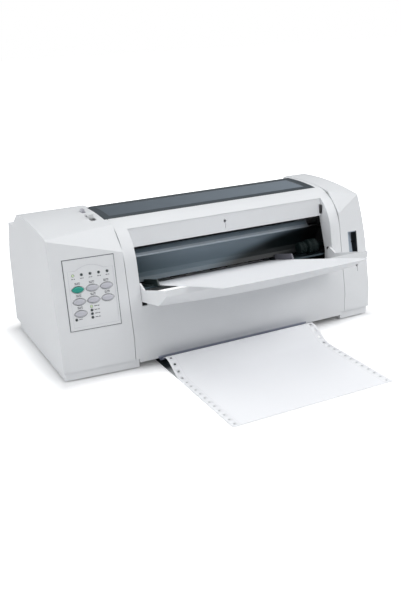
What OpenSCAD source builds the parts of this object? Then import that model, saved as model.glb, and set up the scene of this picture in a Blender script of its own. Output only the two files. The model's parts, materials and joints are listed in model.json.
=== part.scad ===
// Dot matrix printer: a wide desk printer with a smoked top window, a front flap for cut
// sheets, an operator panel on the left housing and fan-fold paper fed in under the front.
// Millimetres. X runs across the machine, the front faces -Y, Z is up from the table.

/* [Body] */
// Width across both end housings
body_w = 496; // [476:2:536]
// Depth from the front panel to the back wall
body_d = 240; // [236:1:256]
// Height of the crest of the top above the table
body_h = 198; // [194:1:206]
// Width of the left housing, which carries the operator panel
left_w = 100; // [94:1:116]
// Width of the right housing, which carries the power switch
right_w = 46; // [42:1:58]
// Wall thickness of the moulded covers
wall = 2.6; // [2.2:0.1:3]
// Joint line left between neighbouring covers
seam = 0.8; // [0.4:0.1:0.9]
// Height of the lower edge of both end housings
skirt_z = 14; // [12:0.5:16]
// How far the base stands in behind the housings
plinth_in = 2.2; // [1.4:0.1:2.3]
// Height of the rubber feet
foot_h = 2; // [1.6:0.1:3]

/* [Front form] */
// Height at which the front starts to lean back
knee_z = 44; // [40:1:50]
// Lean of the front face, in degrees
lean = 10.8; // [10:0.2:11.6]
// Radius that rolls the front into the top
brow_r = 65; // [60:1:68]
// Radius of the crown of the top
crown_r = 470; // [440:5:520]
// How far the left housing's outer front corner sweeps back
sweep_in = 8; // [4:0.5:9]
// Height of the front panel's lower edge, over the fan-fold paper
panel_z = 9; // [8.6:0.1:10]

/* [Sheet opening] */
// Width of the left arm beside the opening
left_arm = 17.5; // [16:0.5:20]
// Width of the right arm beside the opening
right_arm = 17; // [16:0.5:20]
// Height of the sill of the opening
sill_z = 90; // [88:0.5:91]
// Depth of the fold above the opening, below the crest
fold_drop = 12.5; // [12:0.1:13.5]
// Height of the recessed face above the opening
brow_face = 26; // [22:1:28]
// Depth of the side walls of the opening
reveal = 17; // [15:0.5:18]

/* [Sheet flap] */
// Reach of the flap from its hinge to its lip
flap_len = 88; // [84:1:89]
// Height of the flap's front lip
lip_h = 8; // [7:0.5:9]
// Bow of the flap's outer ridge at mid width
flap_bow = 14; // [8:1:16]
// Radius of the flap's hinge pins
pin_r = 2.5; // [2:0.1:3]
// Radial clearance of turning pins and shafts
run_gap = 0.05; // [0.03:0.01:0.08]
// Slope of the paper from the lip down to the platen, in degrees
feed_slope = 16; // [15:0.5:17]

/* [Paper] */
// Width of the fan-fold form with its punched edges
form_w = 241.3; // [210:0.1:241.3]
// Where the middle of the form runs, from the middle of the machine
form_x = 11.2; // [8:0.2:14]
// How far the form reaches in front of the machine
form_reach = 204; // [150:1:220]
// Radius of the bend that lifts the form into the machine
form_bend = 70; // [68:1:72]
// Width of the cut sheet
sheet_w = 215.9; // [148:0.1:215.9]
// Length of the part of the cut sheet that lies on the flap
sheet_len = 178; // [120:1:190]
// Where the middle of the cut sheet runs
sheet_x = 13; // [8:0.5:15]
// Thickness of the paper solids
paper_t = 0.3; // [0.2:0.05:0.4]

/* [Access window] */
// Front-to-back size of the smoked window
window_d = 76; // [72:1:80]
// Thickness of the window
window_t = 2.5; // [2:0.1:3]
// White band of the front cover right of the window
window_band = 8; // [7:0.5:12]
// Depth of the sunk field in the middle of the window
window_sink = 0.8; // [0.4:0.1:1]

/* [Operator panel] */
// Width of the operator panel
panel_w = 68; // [64:1:70]
// Length of the operator panel up the front
panel_l = 93; // [88:1:94]
// How far the panel stands proud
panel_t = 1.2; // [1:0.1:2.4]
// Width of an oval key
key_w = 16; // [14:0.5:17]
// Height of an oval key
key_h = 8; // [7:0.2:9.6]
// How far a key stands proud of the panel
key_rise = 1.4; // [1:0.1:2]
// Sideways pitch of the keys
key_pitch = 19.3; // [19:0.1:20]
// Pitch of the key rows
row_pitch = 16; // [14:0.2:16.4]
// Clearance all round a key
key_gap = 0.7; // [0.4:0.05:0.9]

/* [Power switch] */
// Width of the switch recess
switch_w = 16; // [15:0.5:20]
// Height of the switch recess
switch_l = 34; // [30:1:36]
// Depth of the switch recess
switch_d = 12; // [11:0.5:14]

/* [Mechanism] */
// Radius of the platen
platen_r = 20; // [19:0.1:20.2]
// Radius of the platen's steel shaft
axle_r = 4; // [3.5:0.1:4.4]
// Radius of the carriage shaft
rail_r = 6; // [5:0.1:6.4]
// Width of the carriage
carriage_w = 40; // [34:1:44]
// Width of the ribbon cartridge
cartridge_w = 76; // [60:1:80]
// Thickness of the steel side frames
frame_t = 2; // [1.5:0.1:2.5]
// Gear module
gear_m = 1.5; // [1.5:0.1:1.5]
// Gear face width
gear_w = 6; // [5:0.5:7]
// Radius of the pressure rollers under the platen
nip_r = 8; // [7:0.1:8.4]
// Radius of the belt pulleys
pulley_r = 8; // [7:0.1:8.4]
// Width of the carriage belt
belt_w = 5; // [4:0.2:5.2]

/* [Hidden] */

$fn = 48;
far = 400;              // a length that clears the whole machine
seat = 0.2;             // gap left where a curved piece seats on another

// ---- outlines in the Y-Z plane -------------------------------------------------------
front_y = -body_d / 2;
rear_y = body_d / 2;
off_x = 3;                   // middle of the body, right of the middle of the feet
x_left = off_x - body_w / 2;
x_right = off_x + body_w / 2;
seam_l = x_left + left_w;
seam_r = x_right - right_w;
open_l = seam_l + left_arm;
open_r = seam_r - right_arm;

function lean_y(z) = front_y + max(0, z - knee_z) * tan(lean);
function crown_z(y, t = 0) = body_h - crown_r + sqrt(pow(crown_r - t, 2) - y * y);

crown_c = [0, body_h - crown_r];
lean_dir = [sin(lean), cos(lean)];
lean_in = [cos(lean), -sin(lean)];
// the brow's centre lies brow_r inside the leaning face and inside the crown
brow_q = [front_y, knee_z] + brow_r * lean_in - crown_c;
brow_b = brow_q * lean_dir;
brow_s = -brow_b + sqrt(brow_b * brow_b - brow_q * brow_q + pow(crown_r - brow_r, 2));
brow_c = crown_c + brow_q + brow_s * lean_dir;
crown_u = (brow_c - crown_c) / norm(brow_c - crown_c);
brow_mid = (crown_u - lean_in) / norm(crown_u - lean_in);

// the back: crown to the step, along the ledge, down the leaning wall
step_y = rear_y - 70;       // where the crown ends
ledge_y = rear_y - 38;      // foot of the step
ledge_z = body_h - 26;      // height of the ledge
back_y = rear_y - 17;       // back edge of the ledge
back_z = ledge_z - 55;      // where the back wall turns upright

function side_points(z0) = [
  [front_y, z0], [front_y, knee_z], [lean_y(body_h + 20), body_h + 20],
  [step_y, body_h + 20], [step_y, crown_z(step_y)], [ledge_y, ledge_z],
  [back_y, ledge_z], [rear_y, back_z], [rear_y, z0]];

// each edge of a clockwise outline moved in by t and met with the next one
function moved(a, b, t) = let (d = (b - a) / norm(b - a)) [a + t * [d[1], -d[0]], d];
function cross2(a, b) = a[0] * b[1] - a[1] * b[0];
function meet(e, f) = e[0] + e[1] * cross2(f[0] - e[0], f[1]) / cross2(e[1], f[1]);
function inset_points(p, t) = [for (i = [0 : len(p) - 1]) let (n = len(p))
  meet(moved(p[(i + n - 1) % n], p[i], t), moved(p[i], p[(i + 1) % n], t))];

module brow_cutter(t) {
  t1 = brow_c - (brow_r - t) * lean_in;
  t2 = brow_c + (brow_r - t) * crown_u;
  difference() {
    polygon([t1, brow_c + 1.7 * brow_r * brow_mid, t2]);
    translate(brow_c) circle(r = brow_r - t, $fn = 180);
  }
}

module side_outline(t = 0, z0 = 0, rounded = true) {
  difference() {
    intersection() {
      translate(crown_c) circle(r = crown_r - t, $fn = 720);
      polygon(inset_points(side_points(z0), t));
    }
    if (rounded) brow_cutter(t);
  }
}

// carries an outline drawn in the Y-Z plane along X
module along_x(x0, x1) {
  translate([x0, 0, 0]) rotate([90, 0, 90]) linear_extrude(x1 - x0) children();
}

// ---- base ----------------------------------------------------------------------------
pan_x0 = x_left + plinth_in;
pan_x1 = x_right - plinth_in;
pan_y1 = rear_y - 13;
slot_in = 6;                // base left standing beside the fan-fold entry
slot_y = front_y + 28;      // where the base starts behind the fan-fold entry
pan_floor = 3;
pan_wall = 3;
tongue_h = 5;

function pan_points() = [
  [pan_x0, front_y + plinth_in], [pan_x0, pan_y1], [pan_x1, pan_y1],
  [pan_x1, front_y + plinth_in], [seam_r - slot_in, front_y + plinth_in],
  [seam_r - slot_in, slot_y], [seam_l + slot_in, slot_y],
  [seam_l + slot_in, front_y + plinth_in]];

module base_pan() {
  tongue_in = wall + seat - plinth_in;
  color("gainsboro") difference() {
    union() {
      translate([0, 0, foot_h]) linear_extrude(skirt_z - foot_h)
        difference() {
          polygon(pan_points());
          sweep_corner();
        }
      // tongue that the end housings slip over
      translate([0, 0, foot_h]) linear_extrude(skirt_z - foot_h + tongue_h)
        intersection() {
          difference() {
            polygon(inset_points(pan_points(), tongue_in));
            polygon(inset_points(pan_points(), pan_wall));
            offset_sweep(tongue_in);
          }
          union() {
            translate([x_left, front_y + 12]) square([left_w - 8, body_d - 24]);
            translate([seam_r + 8, front_y + 12]) square([right_w - 8, body_d - 24]);
          }
        }
    }
    translate([0, 0, foot_h + pan_floor]) linear_extrude(far)
      difference() {
        polygon(inset_points(pan_points(), pan_wall));
        offset_sweep(pan_wall);
      }
  }
}

// the base follows the swept front of the left housing
sweep_a = atan(sweep_in / left_w);
module sweep_corner() {
  translate([seam_l, front_y + plinth_in]) rotate(180 - sweep_a) square([far, far]);
}
module offset_sweep(t) {
  translate([seam_l, front_y + plinth_in + t]) rotate(180 - sweep_a) square([far, far]);
}

foot_r = 9;
foot_in = 26;
module rubber_feet() {
  color("dimgray") {
    for (x = [x_left + foot_in, -x_left - foot_in], y = [front_y + foot_in, pan_y1 - foot_in])
      translate([x, y, 0]) cylinder(r = foot_r, h = foot_h);
    // pad that keeps the wide floor from sagging
    cylinder(r = foot_r, h = foot_h);
  }
}

// ---- covers --------------------------------------------------------------------------
// the left housing's front faces turn back about the seam
module left_form(t) {
  intersection() {
    along_x(x_left + t, seam_l - seam / 2 - (t > 0 ? -1 : 0))
      side_outline(t, skirt_z - (t > 0 ? 9 : 0), false);
    translate([seam_l, front_y, 0]) rotate([0, 0, -sweep_a]) translate([-seam_l, -front_y, 0])
      along_x(x_left - 60, seam_l + 60) polygon([
        [front_y + t, -10], [front_y + t, knee_z], [lean_y(body_h + 40) + t / cos(lean), body_h + 40],
        [far, body_h + 40], [far, -10]]);
    facet_side(left_facet, t);
  }
}

module right_form(t) {
  intersection() {
    along_x(seam_r + seam / 2 - (t > 0 ? 1 : 0), x_right - t)
      side_outline(t, skirt_z - (t > 0 ? 9 : 0), false);
    side_crown(t);
    facet_side(right_facet, t);
  }
}

// the right side wall stands upright, then curves in towards the top
side_z = 100;               // height at which it starts to curve in
side_r = 450;
function side_x(z) = x_right - side_r + sqrt(side_r * side_r - pow(max(0, z - side_z), 2));
module side_crown(t) {
  translate([0, far, 0]) rotate([90, 0, 0]) linear_extrude(2 * far) union() {
    translate([seam_r - 10, -20]) square([x_right - t - seam_r + 10, side_z + 20]);
    translate([x_right - side_r, side_z]) circle(r = side_r - t, $fn = 720);
  }
}

// three corners of the flat facet between the top and the front of each end housing
left_facet = [
  [x_left, lean_y(body_h - 9) + sweep_in, body_h - 9],
  [seam_l, front_y + 54, crown_z(front_y + 54) - 1],
  [seam_l, lean_y(body_h - 36) - 0.2, body_h - 36]];
right_facet = [
  [side_x(body_h - 10), lean_y(body_h - 10), body_h - 10],
  [seam_r, front_y + 52, crown_z(front_y + 52)],
  [seam_r, lean_y(body_h - 34), body_h - 34]];
module facet_side(corners, t) {
  n0 = cross(corners[1] - corners[0], corners[2] - corners[0]);
  n = n0 / norm(n0) * (n0[2] > 0 ? 1 : -1);
  translate(corners[0] - t * n) rotate([0, acos(n[2]), atan2(n[1], n[0])])
    translate([-far, -far, -2 * far]) cube([2 * far, 2 * far, 2 * far]);
}

lever_y0 = front_y + 76;     // front end of the lever slots
lever_x = seam_l - 18;       // middle of the lever slots
slot_w = 9;
slot_l = 30;
small_w = 6;
small_l = 16;
slot_gap = 9;
wide_y = lever_y0 + slot_l / 2;
small_y = lever_y0 + slot_l + slot_gap + small_l / 2;
lever_pivot_z = body_h - 40;
lever_pin = 2.5;
lever_eye = 5;

inner_z = lever_pivot_z - 6; // foot of the inner wall beside the window
slots_z = body_h - 20;
module left_housing() {
  color("whitesmoke") difference() {
    union() {
      difference() {
        left_form(0);
        left_form(wall);
      }
      // inner wall that closes the housing beside the window
      intersection() {
        left_form(0);
        translate([seam_l - seam / 2 - wall, front_y, inner_z]) cube([wall, body_d, body_h - inner_z + 20]);
      }
      // pins that the levers turn on
      for (y = [wide_y, small_y]) translate([lever_x - slot_w, y, lever_pivot_z]) rotate([0, 90, 0])
        cylinder(r = lever_pin, h = slot_w + seam_l - seam / 2 - 0.5 - lever_x);
    }
    translate([lever_x - slot_w / 2, wide_y - slot_l / 2, slots_z]) cube([slot_w, slot_l, 40]);
    translate([lever_x - small_w / 2, small_y - small_l / 2, slots_z]) cube([small_w, small_l, 40]);
    // rebate that the window's left edge lies in
    window_ring(-1, window_t + 0.5, window_y0, lid_y - lap_back + lap_swing, window_x0, seam_l);
    panel_cut();
  }
}

module right_housing() {
  color("whitesmoke") difference() {
    right_form(0);
    right_form(wall);
    on_switch() translate([-switch_w / 2, -switch_l / 2, -switch_d]) cube([switch_w, switch_l, far]);
    // small marked hole low on the front
    translate([x_right - 19.5, front_y - 5, 82]) {
      rotate([-90, 0, 0]) cylinder(r = 1.7, h = 30, $fn = 24);
      translate([-0.1, 0, -9]) cube([0.9, 30, 9]);
    }
    vent_slots(x_right);
  }
}

// louvres low on the outer side walls
module vent_slots(x) {
  for (i = [0 : 7])
    translate([x - 10, 10 + i * 9, 60]) cube([20, 4, 46]);
}

// plane of the closed flap's inner face, just ahead of the recessed face
fold_z = body_h - fold_drop;
fold_y = front_y + 48;
face_z = fold_z - brow_face;
face_y = fold_y - 4;
window_y0 = -window_d / 2 - 8.5;
window_y1 = window_y0 + window_d;
window_lap = 4.5;            // how far the window laps over the left housing
lap_back = 12.5;             // the lap ends this far before the hinge, so that it swings clear
lap_swing = 3.6;             // room behind its end for the first few degrees
window_x0 = seam_l - window_lap;
window_x1 = seam_r - window_band;
ledge_t = window_t + 2.3;

module front_cover() {
  color("whitesmoke") difference() {
    union() {
      difference() {
        along_x(seam_l + seam / 2, seam_r - seam / 2) side_outline(0, panel_z);
        along_x(seam_l - 5, seam_r + 5) side_outline(wall, panel_z - 5);
        // opening for the sheets, up to the fold
        translate([open_l, front_y - 10, sill_z]) cube([open_r - open_l, 10 + fold_y - front_y, fold_z - sill_z]);
        // everything behind the front strip, apart from the band beside the window
        translate([seam_l - 5, window_y0, panel_z - 5])
          cube([window_x1 - seam_l + 5, far, far]);
        translate([window_x1 - 1, step_y - 6, panel_z - 5]) cube([far, far, far]);
        translate([window_x1 - 1, window_y0, 0]) cube([far, far, ledge_z]);
      }
      // recessed face over the opening
      along_x(open_l - wall, open_r + wall) polygon([
        [fold_y, fold_z], [fold_y + wall, fold_z + 1], [face_y + wall, face_z], [face_y, face_z]]);
      // ledge that the window's front edge lies on
      window_ring(wall - 1, ledge_t, window_y0 - 4, window_y0 - 0.1, open_l, open_r);
      window_ring(window_t + 0.3, ledge_t, window_y0 - 1, window_y0 + 6, open_l, open_r);
      // side walls of the opening
      for (x = [open_l - wall, open_r]) intersection() {
        along_x(x, x + wall) side_outline(seat, panel_z);
        along_x(x - 1, x + wall + 1) polygon([
          [front_y - 1, sill_z - 16], [table_y0 - 0.5, sill_z - 16], [table_y0 - 0.5, sill_z + reveal],
          [fold_y + 1, face_z], [fold_y + 1, fold_z], [front_y - 1, fold_z]]);
      }
    }
    // bores for the flap's hinge pins
    translate([open_l - 20, hinge_y, hinge_z]) rotate([0, 90, 0])
      cylinder(r = pin_r + run_gap, h = open_r - open_l + 40);
    // latch slot for the flap in the right side wall
    translate([open_r - 3, face_y - 3, face_z + 2]) cube([wall + 5, 9, 14.5]);
    // notch at the left end of the sill
    translate([open_l, front_y - 5, sill_z - 3.5]) cube([8, 20, 6]);
    // sensing hole in the recessed face
    translate([mark_x, face_y + 4, face_z + 15]) rotate([90, 0, 0]) cylinder(r = 2.2, h = 20, center = true);
    translate([mark_x - 0.1, face_y - 6, face_z + 5]) cube([0.7, 20, 9]);
    // room for the cheeks of the base
    for (x = [seam_l - 1, seam_r - slot_in - 0.5])
      translate([x, front_y - 1, 0]) cube([slot_in + 1.5, body_d, skirt_z + 0.3]);
  }
}

mark_x = open_l + 150;       // sensing hole in the recessed face
deck_y = window_y1 + 18;     // front edge of the rear deck, behind the paper exit
module rear_cover() {
  color("whitesmoke") difference() {
    union() {
      intersection() {
        difference() {
          along_x(seam_l + seam / 2, seam_r - seam / 2) side_outline(0, skirt_z);
          along_x(seam_l - 5, seam_r + 5) side_outline(wall, skirt_z - 5);
        }
        translate([seam_l, deck_y, 0]) cube([seam_r - seam_l, far, ledge_z]);
      }
      // deck behind the paper exit
      translate([seam_l + seam / 2, deck_y, ledge_z - wall])
        cube([seam_r - seam_l - seam, ledge_y - deck_y + 1, wall]);
      // turned-up edge that the paper runs over
      translate([seam_l + seam / 2, deck_y, ledge_z - 10])
        cube([seam_r - seam_l - seam, wall, 10 + 3]);
    }
    for (i = [0 : 17])
      translate([-60 + i * 9, rear_y - 12, 60]) cube([4, 20, 34]);
    translate([inlet_x - inlet_w / 2, rear_y - 12, inlet_z]) cube([inlet_w, 20, inlet_h]);
    translate([ports_x - 36, rear_y - 12, ports_z]) cube([72, 20, 20]);
  }
}

// ---- frames and rails ----------------------------------------------------------------
frame_l = seam_l + 4;        // outer face of the left frame
frame_r = seam_r - 4;        // outer face of the right frame
platen_y = front_y + 144;
platen_z = 104;
rail_y = platen_y - 44;
rail_z = 112;
beam_y = rail_y - 27;        // the upper guide rail
beam_z = 146;
hinge_y = front_y + 17;
hinge_z = sill_z + 5;
lid_y = window_y1 + 4;       // the window's hinge
lid_z = body_h - 14;
lid_pin = 2.5;

teeth_platen = 26;
teeth_pinion = 12;
teeth_idler = 34;
teeth_tractor = 22;
function gear_r(n) = gear_m * n / 2;
pinion_dir = -35;
train_dir = 208;
function polar(r, a) = [r * cos(a), r * sin(a)];
platen_c = [platen_y, platen_z];
pinion_c = platen_c + polar(gear_r(teeth_platen) + gear_r(teeth_pinion), pinion_dir);
idler_c = platen_c + polar(gear_r(teeth_platen) + gear_r(teeth_idler), train_dir);
tractor_c = idler_c + polar(gear_r(teeth_idler) + gear_r(teeth_tractor), train_dir);
nip_dir = 247;
nip_c = platen_c + polar(platen_r + nip_r + 0.3, nip_dir);
bar_c = [tractor_c[0] + 4, 40];
bush_r = axle_r + 3;
frame_z = body_h - 43;       // top of the side frames behind the fold

frame_y0 = slot_y + pan_wall;
frame_y1 = pan_y1 - pan_wall;
arm_z0 = sill_z - 30;        // front arms that carry the front cover
arm_z1 = sill_z + 35;
back_z0 = sill_z - 40;       // rear arms that carry the rear cover
lug_r = 7;
module frame_outline() {
  t = wall + seat;
  q = inset_points(side_points(0), t);
  difference() {
    union() {
      polygon([
        [frame_y0, floor_z], [frame_y0, arm_z0], [lean_y(arm_z0) + t / cos(lean), arm_z0],
        [lean_y(arm_z1) + t / cos(lean), arm_z1], [fold_y, frame_z], [lid_y - lug_r, frame_z],
        [lid_y - lug_r, lid_z], [lid_y + lug_r, lid_z], [lid_y + lug_r, frame_z],
        q[7] + (q[6] - q[7]) * (frame_z - q[7][1]) / (q[6][1] - q[7][1]), q[7], [q[7][0], back_z0],
        [frame_y1, back_z0], [frame_y1, floor_z]]);
      translate([lid_y, lid_z]) circle(r = lug_r);
    }
    translate(platen_c) circle(r = bush_r);
    translate(tractor_c) circle(r = bush_r);
    translate([rail_y, rail_z]) circle(r = rail_r + 0.02);
    translate([lid_y, lid_z]) circle(r = lid_pin + run_gap);
    translate(bar_c) circle(r = 4.02);
    translate(nip_c) circle(r = 3 + run_gap);
    translate([grip_y, grip_z]) circle(r = 4 + run_gap);
    translate(idler_c) circle(r = 3 + run_gap);
    translate(pinion_c) circle(r = 5);
  }
}

module side_frames() {
  color("silver") {
    along_x(frame_l, frame_l + frame_t) frame_outline();
    along_x(frame_r - frame_t, frame_r) frame_outline();
  }
}

module guide_rail() {
  color("silver") along_x(frame_l + frame_t, frame_r - frame_t)
    polygon([[beam_y, beam_z - 6], [beam_y + 2, beam_z - 6], [beam_y + 2, beam_z + 12],
      [beam_y + 12, beam_z + 12], [beam_y + 12, beam_z + 14], [beam_y, beam_z + 14]]);
}

module carriage_shaft() {
  color("silver") translate([frame_l, rail_y, rail_z]) rotate([0, 90, 0])
    cylinder(r = rail_r, h = frame_r - frame_l);
}

module tractor_bar() {
  color("silver") translate([frame_l, bar_c[0], bar_c[1]]) rotate([0, 90, 0])
    cylinder(r = 4, h = frame_r - frame_l);
}

module bearing_bushes() {
  color("ivory") for (c = [platen_c, tractor_c], x = [frame_l - 1, frame_r - frame_t - 1])
    translate([x, c[0], c[1]]) rotate([0, 90, 0]) difference() {
      cylinder(r = bush_r - 0.02, h = frame_t + 2);
      translate([0, 0, -1]) cylinder(r = axle_r + run_gap, h = frame_t + 4);
    }
}

// ---- paper path ----------------------------------------------------------------------
lip_z = hinge_z + 38;        // top of the flap's lip when the flap is open
lip_y = hinge_y - flap_len;
function sheet_z(y) = lip_z + (lip_y - y) * tan(feed_slope);
guide_r = 60;
lip_drop = 13;               // flared lip below the curve
guide_x0 = frame_l + frame_t;
guide_x1 = open_r - 16;

// curved guide, struck from the flap's hinge
module paper_guide() {
  a0 = 14;
  a1 = 51;
  foot = [hinge_y, hinge_z] + polar(guide_r, a0 + 1);
  rod = [hinge_y, hinge_z] + polar(guide_r + 1, a1);
  color("slategray") along_x(guide_x0, frame_r - frame_t) intersection() {
    translate([hinge_y, hinge_z]) difference() {
      circle(r = guide_r + 2, $fn = 180);
      circle(r = guide_r, $fn = 180);
    }
    translate([hinge_y, hinge_z])
      polygon([[0, 0], polar(2 * guide_r, a0), polar(2.4 * guide_r, (a0 + a1) / 2), polar(2 * guide_r, a1)]);
  }
  color("slategray") along_x(guide_x0, guide_x1) union() {
    translate(rod) circle(r = 1.6);
    // strip that rises behind the rolled edge
    polygon([rod + [-0.2, 1.2], rod + [7.2, 8.2], rod + [8.3, 7.1], rod + [1.2, 0]]);
    polygon([foot, foot + [2, 0], foot + [0, -7], foot + [-3.4, -lip_drop], foot + [-5, -lip_drop + 0.6], foot + [-1.8, -6.5]]);
  }
}

ear_r = 21.6;                // reach of the flap's ears from its hinge
ear_gap = 0.9;
table_y0 = hinge_y + 15;
table_y1 = platen_y - 36;
module sheet_table() {
  t = 0.5;
  color("slategray") difference() {
    along_x(frame_l + frame_t, frame_r - frame_t)
      polygon([[table_y0, sheet_z(table_y0) - t], [table_y1, sheet_z(table_y1) - t],
        [table_y1, sheet_z(table_y1) - t - 2.4], [table_y0, sheet_z(table_y0) - t - 2.4]]);
    // corners that the flap's ears swing past
    for (x = [open_l - far + wall + ear_gap, open_r - wall - ear_gap])
      translate([x, hinge_y, hinge_z - 20]) cube([far, ear_r + ear_gap, 40]);
  }
}

module form_ramp() {
  c = [form_y, form_bend + table_gap];
  color("slategray") along_x(seam_l + slot_in + 0.5, seam_r - slot_in - 0.5) union() {
    intersection() {
      translate(c) difference() {
        circle(r = form_bend + 3.2, $fn = 180);
        circle(r = form_bend + 1.2, $fn = 180);
      }
      translate([slot_y - 12, foot_h + 1]) square([30, 42]);
    }
    // web down the front of the base
    translate([slot_y - 2, foot_h + 1]) square([2, 23]);
  }
}

form_y = front_y - 30;       // below the middle of the bend
table_gap = 0.1;            // the form lies this far off the table
wave_h = 17;                // the form's wave ahead of the machine
wave_y0 = front_y - 64;     // where it leaves the table
wave_y1 = front_y - 19;     // its crest
dip = [front_y - 1, panel_z - 2.8]; // lowest place, under the front panel's edge
meet_a = 45;                // slope at which the form meets the bend
lift_a = 60;                // slope at which it ends
function eased(s) = (1 - cos(180 * s)) / 2;
function on_bend(a) = [form_y + form_bend * sin(a), table_gap + form_bend * (1 - cos(a))];
function bezier(a, b, c, s) = (1 - s) * (1 - s) * a + 2 * s * (1 - s) * b + s * s * c;
function form_path() = let (q = on_bend(meet_a)) concat(
  [[front_y - form_reach, table_gap]],
  [for (i = [0 : 14]) [wave_y0 + i / 14 * (wave_y1 - wave_y0), table_gap + wave_h * eased(i / 14)]],
  [for (i = [1 : 8]) [wave_y1 + i / 8 * (dip[0] - wave_y1),
    table_gap + wave_h + (dip[1] - table_gap - wave_h) * eased(i / 8)]],
  [for (i = [1 : 7]) bezier(dip, [q[0] - (q[1] - dip[1]) / tan(meet_a), dip[1]], q, i / 7)],
  [for (i = [1 : 5]) on_bend(meet_a + (lift_a - meet_a) * i / 5)]);

module continuous_form() {
  p = form_path();
  n = len(p);
  upper = [for (i = [n - 1 : -1 : 0]) let (d = p[min(i + 1, n - 1)] - p[max(i - 1, 0)])
    p[i] + paper_t / norm(d) * [-d[1], d[0]]];
  color("white") along_x(form_x - form_w / 2, form_x + form_w / 2) polygon(concat(p, upper));
}

// ---- flap and cut sheet --------------------------------------------------------------
flap_x0 = open_l + 0.5;
flap_x1 = open_r - 0.5;
ridge_drop = 28.5;           // ridge below the top of the lip
ridge_back = 26;             // ridge behind the lip at the flap's ends
function bow(x) = flap_bow * (1 - pow(2 * (x - (flap_x0 + flap_x1) / 2) / (flap_x1 - flap_x0), 2));
function flap_points(x, t) = [
  [lip_y + t, lip_z + (t > 0 ? 9 : 0)], [lip_y + t, lip_z - lip_h + t * 0.4],
  [lip_y + ridge_back - bow(x) + t * 0.9, lip_z - ridge_drop + t],
  [hinge_y - 3, hinge_z - 3.5 + t], [hinge_y - 3 + (t > 0 ? 9 : 0), hinge_z + 2],
  [hinge_y - 3 + (t > 0 ? 9 : 0), sheet_z(hinge_y) - 1 + (t > 0 ? 9 : 0)],
  [hinge_y - 9, sheet_z(hinge_y - 9) - 1 + (t > 0 ? 9 : 0)]];

module flap_body(x0, x1, t) {
  n = 6;
  hull() for (i = [0 : n]) let (x = x0 + (x1 - x0 - 0.1) * i / n)
    along_x(x, x + 0.1) polygon(flap_points(x, t));
}

module ear() {
  intersection() {
    translate([hinge_y, hinge_z]) circle(r = ear_r, $fn = 96);
    polygon([[hinge_y - 24, sheet_z(hinge_y - 24) - 6], [hinge_y - 24, sheet_z(hinge_y - 24) - 1],
      [hinge_y - 14, hinge_z + 16.4], [hinge_y, hinge_z + 22], [hinge_y + 4, hinge_z + 17],
      [hinge_y + 4, hinge_z]]);
  }
}

module sheet_flap() {
  rib_t = 2;
  color("whitesmoke") difference() {
    union() {
      difference() {
        flap_body(flap_x0, flap_x1, 0);
        flap_body(flap_x0 + wall, flap_x1 - wall, wall);
      }
      // lip flange along the front
      along_x(flap_x0 + 1, flap_x1 - 1) polygon([
        [lip_y + 1, lip_z - 2.4], [lip_y + 1, lip_z - 0.3], [lip_y + 10, sheet_z(lip_y + 10) - 0.3],
        [lip_y + 10, sheet_z(lip_y + 10) - 2.2]]);
      // ribs that carry the sheet
      for (x = [flap_x0 + 70 : 55 : flap_x1 - 70]) intersection() {
        flap_body(flap_x0, flap_x1, 0);
        along_x(x, x + rib_t) polygon([[lip_y + 1, lip_z - 4], [lip_y + 1, lip_z - 0.4],
          [hinge_y - 12, sheet_z(hinge_y - 12) - 0.4], [hinge_y - 12, hinge_z - 8], [lip_y, lip_z - 40]]);
      }
      // ears that rise over the hinge
      for (x = [flap_x0, flap_x1 - wall]) along_x(x, x + wall) ear();
      // bosses and hinge pins
      for (x = [flap_x0, flap_x1 - wall]) translate([x, hinge_y, hinge_z])
        rotate([0, 90, 0]) cylinder(r = 4.4, h = wall);
      for (x = [flap_x0 - wall - 0.5, flap_x1 - wall]) translate([x, hinge_y, hinge_z])
        rotate([0, 90, 0]) cylinder(r = pin_r, h = 2 * wall + 0.5);
    }
  }
}

module cut_sheet() {
  y1 = hinge_y - 4;
  y0 = y1 - sheet_len * cos(feed_slope);
  color("white") along_x(sheet_x - sheet_w / 2, sheet_x + sheet_w / 2)
    polygon([[y0, sheet_z(y0)], [y1, sheet_z(y1)], [y1, sheet_z(y1) + paper_t], [y0, sheet_z(y0) + paper_t]]);
}

edge_h = 9;
edge_len = 50;
module sheet_guide(side) {
  x = sheet_x + side * (sheet_w / 2 + 0.4);
  y0 = hinge_y + 2;
  y1 = y0 + edge_len;
  color("dimgray") {
    along_x(side > 0 ? x : x - 2.4, side > 0 ? x + 2.4 : x)
      polygon([[y0, sheet_z(y0) - 0.2], [y0 + 6, sheet_z(y0 + 6) + edge_h], [y1, sheet_z(y1) + edge_h],
        [y1, sheet_z(y1) - 0.2]]);
    along_x(side > 0 ? x + 2.3 : x - 10, side > 0 ? x + 10 : x - 2.3)
      polygon([[table_y0 + 2, sheet_z(table_y0 + 2) - 0.2], [table_y0 + 2, sheet_z(table_y0 + 2) + 1.8],
        [y1 - 8, sheet_z(y1 - 8) + 1.8], [y1 - 8, sheet_z(y1 - 8) - 0.2]]);
  }
}
module left_sheet_guide() { sheet_guide(-1); }
module right_sheet_guide() { sheet_guide(1); }

// ---- access window -------------------------------------------------------------------
module window_ring(t0, t1, y0, y1, x0, x1) {
  along_x(x0, x1) intersection() {
    translate(crown_c) difference() {
      circle(r = crown_r - t0, $fn = 720);
      circle(r = crown_r - t1, $fn = 720);
    }
    translate([y0, body_h - 40]) square([y1 - y0, 60]);
  }
}

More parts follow.
